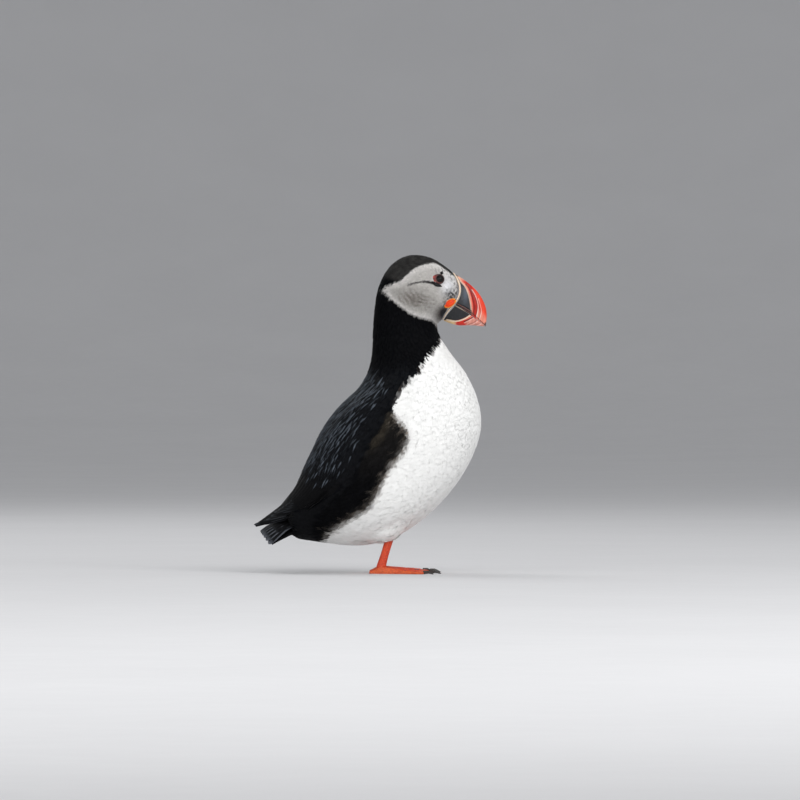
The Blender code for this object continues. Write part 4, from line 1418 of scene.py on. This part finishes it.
# %% [markdown]
# A feather is laid in three steps. Its root stands on the skin. From there it walks half its length along
# the lie, drops back onto the skin, and walks again, so that it follows the body's curve like a real one.
# Then the modelled blades are bent along those three spots, low at the root and as high at the tip as the
# plumage is deep. Each row's tips thus rest on the roots of the next, as tiles do.

# %% Walking the lie of the plumage
def level(ways, normals):
    """Directions turned into the plane that their normals stand on."""
    return unit(ways - (ways * normals).sum(axis=1, keepdims=True) * normals)


def turned(ways, normals, angles):
    """Directions turned about their normals by angles in radians."""
    return ways * np.cos(angles)[:, None] + np.cross(normals, ways) * np.sin(angles)[:, None]


def walk(roots, ways, lengths):
    """Three spots on the skin for each feather, root, middle and tip, and the normals there."""
    spots, normals = skin_ground.nearest(roots)
    steps = [(spots, normals)]
    for _ in range(2):
        ways = level(ways, normals)
        spots, normals = skin_ground.nearest(spots + ways * lengths[:, None] / 2)
        steps.append((spots, normals))
    return steps


print("steps of a feather: root, middle, tip")

# %% [markdown]
# All feathers of a coat become one mesh in a few sums over whole rows of numbers, which takes seconds where
# a copy by hand of each would take hours. Two maps go with it. On Vane each feather fills the square, for
# its barbs, and on OFBake it is a tiny patch at its root's place on the unrolled skin. Thin blades would
# shade like knives, so their normals are turned towards the skin's, and the coat reads as one soft surface.

# %% Laying many feathers as one mesh
BAKE_PATCH = 0.003
LEAN = 0.3  # how far a blade's sides seem to turn away from its ridge
SLOPE = 0.12  # and the whole feather's sides from its shaft


def bake_place(roots):
    """A root's place on the unrolled skin: round the body by the angle, and along it by the line."""
    line, share, _ = on_chart(roots)
    angle = np.arccos(np.clip(1.0 - 2.0 * share, -1.0, 1.0)) / (2 * math.pi)
    around_body = 0.5 + np.where(roots[:, 1] < 0, -angle, angle)
    return np.stack([0.01 + 0.98 * around_body, 0.01 + 0.98 * line / LAST_LINE], axis=1)


def mesh_of(name, points, corners):
    """An object of its own from points in millimetres and triangles."""
    made = bpy.data.meshes.new(name)
    made.vertices.add(len(points))
    made.vertices.foreach_set("co", (points * MM).astype(np.float32).ravel())
    made.loops.add(3 * len(corners))
    made.loops.foreach_set("vertex_index", corners.astype(np.int32).ravel())
    made.polygons.add(len(corners))
    made.polygons.foreach_set("loop_start", np.arange(0, 3 * len(corners), 3, dtype=np.int32))
    made.update(calc_edges=True)
    made.validate()
    piece = bpy.data.objects.new(name, made)
    bpy.context.scene.collection.objects.link(piece)
    return piece


def lay(name, kind, steps, wide, heights, colours, strength, cup=0.12):
    """One mesh of many feathers of a kind, bent along their steps, at heights for root, middle and tip."""
    shape, faces = kind
    along, across, up, lean = shape.T
    trio = shape[faces][:, :, :3]
    face_up = np.where(np.cross(trio[:, 1] - trio[:, 0], trio[:, 2] - trio[:, 0])[:, 2] < 0.0, -1.0, 1.0)
    shares = np.stack([(1 - along) * (1 - 2 * along), 4 * along * (1 - along), along * (2 * along - 1)])
    count = len(steps[0][0])
    centre = sum(spots[:, None, :] * share[None, :, None] for (spots, _), share in zip(steps, shares))
    tilt = sum(height[:, None] * share[None, :] for height, share in zip(heights, shares))
    to_tip = along[None, :, None]
    first_half = steps[1][0] - steps[0][0]
    second_half = steps[2][0] - steps[1][0]
    onward = first_half[:, None] * (1 - to_tip) + second_half[:, None] * to_tip
    normal = steps[0][1][:, None] * (1 - to_tip) + steps[2][1][:, None] * to_tip
    normal = unit(normal.reshape(-1, 3))
    side = unit(np.cross(normal, onward.reshape(-1, 3))).reshape(count, -1, 3)
    normal = normal.reshape(count, -1, 3)
    wide = wide[:, None]
    lift = tilt + up * wide - cup * across ** 2 * wide
    points = centre + side * (across * wide)[:, :, None] + normal * lift[:, :, None]
    corners = (faces[None] + (np.arange(count) * len(shape))[:, None, None]).reshape(-1, 3)
    piece = mesh_of(name, points.reshape(-1, 3), corners)
    patch = np.stack([across / 2, along - 0.5], axis=1) * BAKE_PATCH
    bake = bake_place(steps[0][0])[:, None] + patch[None]
    vane = np.stack([0.5 + across / 2, along], axis=1)[None].repeat(count, axis=0)
    for title, places in (("Vane", vane), ("OFBake", bake)):
        flat = places.reshape(-1, 2)[corners.ravel()]
        piece.data.uv_layers.new(name=title).data.foreach_set("uv", flat.astype(np.float32).ravel())
    paint(piece, colours.reshape(-1, 3), np.repeat(strength, len(shape)))
    soft = side * (SLOPE * across + LEAN * lean)[None, :, None]
    soft = soft[:, faces] + normal[:, faces] * face_up[None, :, None, None]
    piece.data.shade_smooth()
    piece.data.normals_split_custom_set(unit(soft.reshape(-1, 3)))
    return piece


print("a patch for baking is", BAKE_PATCH, "across")

# %% [markdown]
# A coat is made of feathers that are alike but never the same. Each draws its own length, width, height,
# tone and a few degrees of disorder by chance, from a seed, so that the bird comes out the same each time.

# %% A coat of feathers on given roots
COLLAR_LINE = 10.4  # the neck's line above which nothing has a pale fringe of painted sheen
ROOT_SINK = 0.3
HOME = 0.72  # the share of a feather's length where the middle of what shows of it lies


def coat(name, kind, roots, size, wide, bench, seed, stand=1.0, middle=0.62, loose=7.0, sheen_fringe=0.0,
         speckle=0.08, follow=0.0, wash=None, cup=0.12, stir=0.04):
    """Feathers of a kind on these roots. size and wide are millimetres, stand is the share of the plumage's
    depth that the tips reach, middle the share of that at half length, loose the disorder in degrees, and
    speckle and stir the unevenness of tone and height. A feather has the one colour of its HOME, or with
    follow 1 the markings run on across it, or the wash covers them."""
    chance = np.random.default_rng(seed)
    count = len(roots)
    size = size * chance.uniform(0.86, 1.12, count)
    _, _, ways = on_chart(roots)
    spots, normals = skin_ground.nearest(roots)
    angles = np.radians(chance.normal(0.0, loose, count))
    steps = walk(spots, turned(level(ways, normals), normals, angles), size)
    deep = plumage_depth(steps[2][0]) * stand * chance.uniform(1.0 - stir, 1.0 + stir, count)
    heights = (np.full(count, -ROOT_SINK), middle * deep, deep)
    along = kind[0][:, 0]
    home = (HOME + follow * (along - HOME))[None, :, None]
    seen = steps[0][0][:, None] * (1 - home) + steps[2][0][:, None] * home
    seen = seen + (steps[2][1] * deep[:, None])[:, None]
    colours = plumage(seen.reshape(-1, 3)).reshape(count, -1, 3)
    if wash is not None:
        colours = np.broadcast_to(wash, colours.shape)
    colours = colours * np.maximum(1.0 + chance.normal(0.0, speckle, count), 0.1)[:, None, None]
    line, share, _ = on_chart(roots)
    # below the collar and near the back's ridge, feathers get a pale fringe: painted sheen
    sheen_rims = sheen_fringe * smooth(COLLAR_LINE, COLLAR_LINE - 1.6, line) * smooth(0.3, 0.12, share)
    sheen_rims = (sheen_rims + 0.1 * sheen_fringe) * chance.uniform(0.2, 1.0, count)
    made = lay(name, kind, steps, wide * size / np.mean(size), heights, colours, sheen_rims, cup)
    dress(made, bench)
    print(name, count, "feathers,", len(kind[1]) * count, "triangles")


# %% [markdown]
# Roots must be even without being in rows. Spots are thrown over the skin by area, and one that lies nearer
# to a kept spot than it should is dropped, which is how the feathers of a real tract are spaced, too.

# %% Scattering roots over the skin
THROWS = 4.0  # spots thrown for each square with sides of the spacing


class Field:
    """The skin's triangles, for scattering roots evenly by area."""

    def __init__(self, piece):
        piece.data.calc_loop_triangles()
        corners = np.empty(3 * len(piece.data.loop_triangles), np.int32)
        piece.data.loop_triangles.foreach_get("vertices", corners)
        self.corners = read(piece)[corners.reshape(-1, 3)]
        edge_a = self.corners[:, 1] - self.corners[:, 0]
        edge_b = self.corners[:, 2] - self.corners[:, 0]
        self.area = np.linalg.norm(np.cross(edge_a, edge_b), axis=1) / 2

    def scatter(self, wanted, apart, seed):
        """Spots where wanted(points) holds, no two nearer than apart."""
        chance = np.random.default_rng(seed)
        count = int(self.area.sum() / apart ** 2 * THROWS)
        rows = np.searchsorted(np.cumsum(self.area) / self.area.sum(), chance.random(count))
        rows = np.minimum(rows, len(self.area) - 1)
        a = np.sqrt(chance.random(count))[:, None]
        b = chance.random(count)[:, None]
        trio = self.corners[rows]
        spots = trio[:, 0] * (1 - a) + trio[:, 1] * a * (1 - b) + trio[:, 2] * a * b
        spots = spots[wanted(spots)]
        finder = KDTree(len(spots))
        for number, spot in enumerate(spots):
            finder.insert(spot, number)
        finder.balance()
        free = np.ones(len(spots), bool)
        kept = []
        for number, spot in enumerate(spots):
            if free[number]:
                kept.append(number)
                for _, other, _ in finder.find_range(spot, apart):
                    free[other] = False
        return spots[kept]


skin_field = Field(skin)
print("skin area:", round(skin_field.area.sum()), "square millimetres")

# %% [markdown]
# One wiring serves all feathers. On a firm one, fine barbs run at a slant from its shaft, drawn from the
# feather's own map. On a loose one, strands run along it and wander a little. Where the mesh says so, the
# rim fades to a paler fringe, which is painted sheen. Black feathers have next to no gloss, or they would
# turn grey in the light.

# %% Finishes of the feathers
def plume_finish(name, rim, strands=True, rough=(0.55, 0.8), sheen=0.05, shade=0.25, gloss=0.2, relief=0.3):
    """Strands run along a loose feather, and a firm one has barbs at a slant from its shaft."""
    bench = Bench(name)
    colour, strength = bench.paint()
    own = bench.node("SeparateXYZ", {0: bench.node("UVMap", uv_map="Vane").outputs[0]})
    wander = bench.grain(2.2, 4.0)
    fine = bench.grain(0.45, 3.0)
    across = bench.sums("ABSOLUTE", bench.sums("MULTIPLY_ADD", own.outputs[0], 2.0, -1.0))
    along = own.outputs[1]
    if strands:
        wave = bench.sums("MULTIPLY_ADD", wander, 5.0, bench.sums("MULTIPLY", across, 40.0))
    else:
        wave = bench.sums("MULTIPLY", bench.sums("MULTIPLY_ADD", across, -0.35, along), 90.0)
    barb = bench.sums("SINE", wave)
    shaded = bench.mix(bench.rise(barb, -1.0, 1.0, 0.0, shade), colour, (0.0, 0.0, 0.0))
    shaded = bench.mix(bench.rise(wander, 0.3, 0.7, 0.0, shade), shaded, (0.0, 0.0, 0.0))
    # a pale rim at the sides and tip, as strong as the paint's strength: the fringe of painted sheen
    edge = bench.sums("MULTIPLY", bench.rise(across, 0.5, 0.8), bench.rise(along, 0.35, 0.7))
    edge = bench.sums("MAXIMUM", edge, bench.rise(along, 0.88, 0.99))
    edge = bench.sums("MULTIPLY", edge, strength)
    edge = bench.sums("MULTIPLY", edge, bench.rise(fine, 0.3, 0.6, 0.4, 1.0))
    bench.set(Base_Color=bench.mix(edge, shaded, rim))
    bench.rough(wander, *rough)
    bench.set(Sheen_Weight=sheen, Sheen_Roughness=0.5, Specular_IOR_Level=gloss)
    bench.bump((barb, relief, 0.05), (fine, relief, 0.05))
    return bench


# the rim colour is the pale fringe; on back, wings and tail it is painted sheen
white_plume = plume_finish("white_plume", tint(250, 250, 250), shade=0.015, gloss=0.15, relief=0.05)
black_plume = plume_finish("black_plume", tint(60, 64, 78), rough=(0.6, 0.85), sheen=0.02, gloss=0.05)
face_plume = plume_finish("face_plume", tint(236, 236, 240), shade=0.06)
back_plume = plume_finish("back_plume", tint(84, 89, 97), False, (0.5, 0.75), sheen=0.02, gloss=0.06)
flank_plume = plume_finish("flank_plume", tint(90, 82, 72), rough=(0.7, 0.9), sheen=0.02, gloss=0.05)
quill_plume = plume_finish("quill_plume", tint(112, 116, 124), False, (0.45, 0.6), sheen=0.02, gloss=0.06)
print("a feather's finish:", len(quill_plume.tree.nodes), "nodes")

# %% [markdown]
# ## The coat, tract by tract
# A bird's feathers grow in tracts, each with its own size and softness. They are smallest on the face,
# velvety on the neck, silky and long on the breast, loose and fluffy on the flanks, and crisp on the back.
# A root belongs to a tract by where its tip will lie, so that the edge between black and white is drawn by
# tips, and is as ragged as the real one. Along that edge stand two narrow tracts of short feathers, the
# black collar and the white hem, because long ones would carry their colour across it.

# %% Masks of the tracts
LID_KEEP = 3.7  # no feather within this distance of the eye's middle
RIM_KEEP = 1.5  # nor this near the front of the bill's rim
CROWN_LINE = 13.2
REAR_LINE = 5.3
BELLY_LINE = 6.5
WING_BEND = 104.0  # above this height the breast meets the wing
QUILLS_ONLY = -68.0  # and behind this x there are only quills
WING_BLADE = ((-16.0, 71.0), (-36.0, 72.0), (-57.0, 73.0), (-66.0, 51.0), (-78.0, 45.5), (-90.0, 38.0),
              (-64.0, 42.0), (-53.5, 47.5), (-40.6, 52.5), (-27.0, 60.0))
wing_blade = line_through(WING_BLADE, 3, closed=True)


def clear_of_face_parts(x, z):
    """True where no eye, rosette or rim stands."""
    eye_off = np.hypot((x - EYE_MIDDLE[0]) * np.where(x < EYE_MIDDLE[0], 0.8, 1.0), z - EYE_MIDDLE[1])
    along = (x - 59.5) * math.cos(ROSETTE_TILT) + (z - 203.2) * math.sin(ROSETTE_TILT)
    across = (z - 203.2) * math.cos(ROSETTE_TILT) - (x - 59.5) * math.sin(ROSETTE_TILT)
    on_rosette = np.hypot(along / 5.4, across / 2.9) < 1.0
    return (eye_off > LID_KEEP) & ~on_rosette & (ahead(HORN_EDGE, x, z) < -RIM_KEEP)


print("outline of the bare wing blade:", len(wing_blade), "points")


# %% Which tract a feather belongs to
def tract(points, reach):
    """The name of the tract of a feather whose root is here and whose tip lies reach further."""
    line, _, lie = on_chart(points)
    line = line + 0.45 * drift(points, 6.0, 4)
    tips = points + lie * reach
    x, _, z = tips.T
    names = np.full(len(points), "back", dtype="U6")
    names[line > COLLAR_LINE] = "neck"
    names[line > CROWN_LINE] = "crown"
    names[line < REAR_LINE] = "rear"
    white_root = inside(breast_outline, points[:, 0], points[:, 2]) > 0.0
    white_tip = inside(breast_outline, x, z)
    high_white = white_root & (points[:, 2] > WING_BEND)
    names[(inside(flank_outline, x, z) > -1.0) & ~high_white] = "flank"
    names[(white_tip > 0.0) | high_white] = "breast"
    ends = points + lie * 10.5
    over_wing = (inside(breast_outline, ends[:, 0], ends[:, 2]) < 0.6) & (points[:, 2] > 102.0)
    names[(names == "breast") & white_root & over_wing & (points[:, 2] < 150.0)] = "hem"
    names[(names == "breast") & (line < BELLY_LINE)] = "belly"
    names[(names == "neck") & (white_tip > -3.5)] = "collar"
    names[inside(face_outline, x, z) > 0.0] = "face"
    names[x < QUILLS_ONLY] = "none"
    on_head = np.isin(names, ("face", "crown", "neck", "collar"))
    names[on_head & ~clear_of_face_parts(points[:, 0], points[:, 2])] = "none"
    half_out = np.abs(points[:, 1]) > 6.0 + 0.5 * np.clip(points[:, 2] - 50.0, 0.0, 60.0)
    on_blade = (inside(wing_blade, points[:, 0], points[:, 2]) > 0.0) & half_out
    names[on_blade & np.isin(names, ("back", "rear", "flank"))] = "none"
    return names


def roots(name, apart, reach, seed):
    """Roots of one tract, spaced apart, for feathers that reach this far."""
    return skin_field.scatter(lambda points: tract(points, reach) == name, apart, seed)


print("helpers: tract, roots")

# %% Tracts of the head and neck
coat("coat_face", CHEEK, roots("face", 0.88, 1.6, 1), 2.9, 0.85, face_plume, 1, loose=8.0,
     follow=1.0)
coat("coat_crown", VELVET, roots("crown", 1.35, 2.6, 2), 4.4, 1.15, black_plume, 2,
     loose=6.0, follow=1.0)
coat("coat_neck", VELVET, roots("neck", 1.6, 4.4, 3), 6.4, 1.4, black_plume, 3, loose=9.0)
coat("coat_collar", VELVET, roots("collar", 1.05, 4.4, 12), 4.8, 0.8, black_plume, 12,
     loose=11.0)

# %% Tracts of the breast and belly
WHITE_COATS = (  # name, tract, spacing, reach, size, half width, looseness, seed
    ("coat_breast", "breast", 1.85, 7.5, 11.5, 2.7, 3.0, 4),
    ("coat_breast_hem", "hem", 1.5, 7.5, 4.6, 1.6, 5.0, 11),
    ("coat_belly", "belly", 2.05, 8.0, 12.5, 2.6, 6.0, 5),
)
for name, place, apart, reach, size, wide, loose, seed in WHITE_COATS:
    coat(name, SILK, roots(place, apart, reach, seed), size, wide, white_plume, seed,
         loose=loose, speckle=0.01, cup=0.04)

# %% [markdown]
# The flanks are long, loose down that is half blown over the white. Their coat stands higher and less even
# than the rest, and thin wisps of a dusty grey-brown lie over the border, so that black ends in threads.

# %% Tracts of the flanks
coat("coat_flanks", FLUFF, roots("flank", 1.8, 6.5, 6), 10.0, 2.4, flank_plume, 6,
     loose=14.0, stand=1.4, speckle=0.15, stir=0.12)


def on_border(points):
    """True along the flank's white border."""
    x, _, z = points.T
    off = inside(breast_outline, x, z)
    return (off > -3.5) & (off < 1.0) & (z < 116.0) & (z > 32.0) & (tract(points, 6.5) != "none")


coat("coat_wisps", WISP, skin_field.scatter(on_border, 2.0, 13), 9.0, 1.9, flank_plume, 13,
     loose=16.0, stand=1.5, speckle=0.45, wash=tint(100, 93, 86), stir=0.15)

# %% [markdown]
# Back and wings have firm, rounded coverts that overlap like slates. Over the shoulder blades they are
# longer and narrower, and they are shortest and broadest over the folded wing, so two coats share the roots.

# %% Tracts of the back
back_roots = roots("back", 2.3, 8.0, 7)
_, share, _ = on_chart(back_roots)
scapular = share < 0.22
coat("coat_back", COVERT, back_roots[scapular], 13.0, 1.9, back_plume, 7, sheen_fringe=0.8,
     speckle=0.16, cup=0.08)
coat("coat_wing_cover", COVERT, back_roots[~scapular], 10.5, 2.1, back_plume, 8,
     sheen_fringe=0.8, speckle=0.12, cup=0.08)
coat("coat_rear", COVERT, roots("rear", 2.3, 8.0, 9), 11.0, 2.2, back_plume, 9, stand=0.9,
     cup=0.08)

# %% [markdown]
# The long feathers over the shoulders catch the light in thin pale streaks down the back, closest together
# along its ridge, so loose barbs of that pale colour are laid over the firm feathers: painted sheen.

# %% Painted sheen: pale streaks over the shoulders
sheen_streak_roots = roots("back", 2.1, 4.0, 10)
line, share, _ = on_chart(sheen_streak_roots)
chance = np.random.default_rng(10)
often = smooth(10.9, 9.9, line) * smooth(3.8, 7.6, line) * smooth(0.31, 0.1, share)
sheen_streak_roots = sheen_streak_roots[chance.random(len(line)) < often]
coat("coat_sheen_streaks", SHEEN_STREAK, sheen_streak_roots, 15.0, 1.9, back_plume, 10, stand=1.3,
     middle=0.85, speckle=0.45, wash=tint(74, 80, 88), cup=0.0)

# %% [markdown]
# ## Quills
# The long feathers of wing and tail are stiff, and each has its own place. In a folded wing the secondaries
# lie on top, and the primaries come out from under them, each a little longer than the one above it. All
# follow lines between the wing's lower edge and the edge along the back, and lie on the solid wing itself.

# %% Flight feathers of the folded wings
LOWER_EDGE = ((2.0, 84.0), (-13.0, 64.0), (-26.0, 54.8), (-37.0, 49.8), (-48.0, 45.8), (-60.0, 42.0),
              (-73.0, 38.0), (-88.2, 36.0))
BACK_EDGE = ((-38.0, 104.0), (-48.0, 86.0), (-54.0, 72.0), (-58.5, 62.8), (-63.5, 56.6), (-70.0, 51.6),
             (-78.0, 45.8), (-88.2, 38.8))
FAN_OUT = 0.56  # how far up the wing's end the tips of the primaries spread
lower_edge = line_through(LOWER_EDGE, 8)
back_edge = line_through(BACK_EDGE, 8)


def between_edges(upward, onward):
    """A spot of the side view: upward is 0 on the wing's lower edge, onward 1 at its tip."""
    place = onward * (len(lower_edge) - 1)
    spots = [[np.interp(place, range(len(edge)), edge[:, axis]) for axis in (0, 1)]
             for edge in (lower_edge, back_edge)]
    return np.array(spots[0]) * (1 - upward) + np.array(spots[1]) * upward


def quills(name, kind, steps, wide, heights, colour, seed, sheen_fringe=0.0):
    """Stiff feathers of a kind along their steps, each with its own width and heights."""
    chance = np.random.default_rng(seed)
    tones = (1.0 + chance.normal(0.0, 0.08, len(wide)))[:, None, None]
    colours = np.tile(colour, (len(wide), len(kind[0]), 1)) * tones
    made = lay(name, kind, steps, wide, heights, colours, np.full(len(wide), sheen_fringe), cup=0.08)
    dress(made, quill_plume)
    print(name, len(wide), "feathers,", len(kind[1]) * len(wide), "triangles")


print("edges of the wing:", len(lower_edge), "and", len(back_edge), "points")

# %% Primaries and secondaries
WING_LAYERS = (  # name, count, upward of the first and last, start, tip, shortening, height, step up
    ("primaries", 10, 0.02, 0.8, 0.5, 1.0, 0.05, -0.35, 0.05),
    ("secondaries", 13, 0.16, 0.95, 0.1, 0.6, 0.005, 0.0, 0.025),
)
QUILL_DRESS = {  # half width, colour, pale fringe of painted sheen
    "primaries": (2.3, tint(14, 15, 17), 0.25),
    # the secondaries are darker than the primaries: painted shade under the coverts above them
    "secondaries": (3.1, tint(9, 9, 11), 0.0),
}
for side, word in ((-1.0, "right"), (1.0, "left")):
    wing = smooth_copy("wing_" + word, "wing_guide", None)
    wing_ground = Ground(wing)
    for name, count, first, last, start, tip, sooner, low, higher in WING_LAYERS:
        half, colour, sheen_fringe = QUILL_DRESS[name]
        steps = []
        for onward in (0.0, 0.5, 1.0):
            found = []
            for k in range(count):
                upward = first + (last - first) * k / (count - 1)
                if name == "primaries":
                    upward += (0.2 + FAN_OUT * min(k / 4, 1.0) - upward) * onward ** 2
                place = start + (tip - sooner * k - start) * onward
                found.append(wing_ground.from_side(side, *between_edges(upward, place)))
            steps.append((np.array([spot for spot, _ in found]), np.array([way for _, way in found])))
        heights = low + higher * np.arange(count)
        heights = (heights - 1.2, heights, heights + 0.1)
        quills(name + "_" + word, FLIGHT, steps, np.full(count, half), heights, colour, 20, sheen_fringe)
    bpy.data.objects.remove(wing)

# %% [markdown]
# Behind the skin's end the quills need something to lie on, or daylight would show between them. The ends of
# the solid wings and of the tail are cut off with a bisect, closed, and sunk a little under the quills.

# %% Solid ends under the quills of wing and tail
END_VOXEL = 0.36
ENDS = (  # solid, x of the cut, sink
    ("wing_right", -55.0, 0.3),
    ("wing_left", -55.0, 0.3),
    ("tail", -52.5, 0.1),
)

blade_look = Bench("vane_black")
colour, _ = blade_look.paint()
ripple = blade_look.grain(1.1, 4.0, stretch=(0.35, 1.0, 0.8))
ripple_dark = blade_look.rise(ripple, 0.3, 0.7, 0.0, 0.35)
blade_look.set(Base_Color=blade_look.mix(ripple_dark, colour, (0.0, 0.0, 0.0)), Specular_IOR_Level=0.06)
blade_look.rough(ripple, 0.5, 0.7)
blade_look.bump((ripple, 0.5, 0.12))
for node, last_x, sink in ENDS:
    end = smooth_copy(node, node + "_end", END_VOXEL, 2)
    bpy.ops.object.mode_set(mode="EDIT")
    bpy.ops.mesh.select_all(action="SELECT")
    bpy.ops.mesh.bisect(plane_co=(last_x * MM, 0.0, 0.0), plane_no=(1.0, 0.0, 0.0), use_fill=True,
                        clear_outer=True)
    bpy.ops.object.mode_set(mode="OBJECT")
    modify(end, "DISPLACE", strength=-sink * MM, mid_level=0.0)
    paint(end, plain(tint(12, 12, 14), end.data.vertices))
    dress(end, blade_look)
    print(end.name, triangles(end), "triangles")

# %% [markdown]
# A puffin's tail is short and rounded. Its feathers fan out, the middle pair on top and longest, and the
# outer ones droop. Coverts hide their roots, and the rump's own feathers bridge the step down from the back,
# between the two wings. All three are the same fan with other numbers.

# %% Tail feathers, their coverts and the rump
FANS = (  # name, count, half width, colour, pale fringe of painted sheen, then for root, middle and tip:
          # x, half span, z, droop and shortening of the outermost
    ("tail_feathers", 14, 4.6, tint(15, 16, 19), 0.7,
     ((-48.0, 9.0, 42.0, 2.4, 0.0), (-66.0, 15.4, 41.4, 5.0, 3.0), (-83.8, 18.0, 31.6, 8.8, 7.0))),
    ("tail_coverts", 12, 4.0, tint(12, 12, 14), 0.1,
     ((-46.0, 9.0, 45.5, 3.0, 0.0), (-61.0, 13.5, 43.4, 4.6, 1.5), (-76.0, 15.4, 38.0, 6.4, 4.0))),
    ("rump_feathers", 9, 3.4, tint(11, 12, 14), 0.1,
     ((-50.0, 6.0, 72.0, 2.0, 0.0), (-64.0, 6.5, 55.0, 2.5, 0.5), (-75.5, 8.5, 39.5, 3.5, 2.0))),
)
for name, count, wide, colour, sheen_fringe, rows in FANS:
    place = np.linspace(-1.0, 1.0, count)
    stack = 0.1 * np.abs(np.arange(count) - (count - 1) / 2)
    steps = []
    for x, half, z, droop, short in rows:
        spots = np.stack([x + short * place ** 2, half * place, z - droop * place ** 2 - stack], axis=1)
        steps.append((spots, unit(np.stack([0 * place - 0.12, 0.7 * place, 0 * place + 1.0], axis=1))))
    flat = np.zeros(count)
    quills(name, TAIL, steps, np.full(count, wide), (flat, flat, flat), colour, 30, sheen_fringe)

# %% [markdown]
# Where a leg comes out of the belly, soft white feathers hang over its top like a cuff. Two rings of silk
# stand round the shank, their tips drawn in to it.

# %% Loose feathers round the tops of the legs
THIGH_ROWS = ((34.0, 5.4, 7.5), (31.5, 4.6, 7.5))  # height of the roots, distance from the shank, length
THIGH_COUNT = 14
for side, word in ((-1.0, "right"), (1.0, "left")):
    steps = [[], [], []]
    for number, (high, off, long) in enumerate(THIGH_ROWS):
        for k in range(THIGH_COUNT):
            turn = math.tau * (k + 0.5 * number) / THIGH_COUNT
            out = np.array((math.cos(turn), math.sin(turn), 0.0))
            for step, (share, narrower) in enumerate(((0.0, 0.0), (0.5, 0.4), (1.0, 1.9))):
                z = high - long * share
                axis = np.array((shank_x(z), side * LEG_SPREAD, z))
                steps[step].append((axis + out * (off - narrower), out))
    steps = [(np.array([spot for spot, _ in row]), np.array([way for _, way in row])) for row in steps]
    count = len(steps[0][0])
    colours = np.tile(tint(226, 222, 218), (count, len(SILK[0]), 1))
    heights = (np.zeros(count), np.full(count, 0.2), np.full(count, 0.1))
    made = lay("coat_thigh_" + word, SILK, steps, np.full(count, 2.0), heights, colours, np.zeros(count))
    dress(made, white_plume)
print("thighs:", triangles(made), "triangles each")

# %% [markdown]
# ## Sizes and finish
# The last cell notes the size of the solids and of the dressed bird.

# %% Note the sizes and finish
size = {"cad": [list(CAD_BOX[0]), list(CAD_BOX[1])]}
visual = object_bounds()
size["visual"] = [list(visual[0]), list(visual[1])]
print("size now:", [round((high - low) / MM, 1) for low, high in zip(*visual)], "mm")
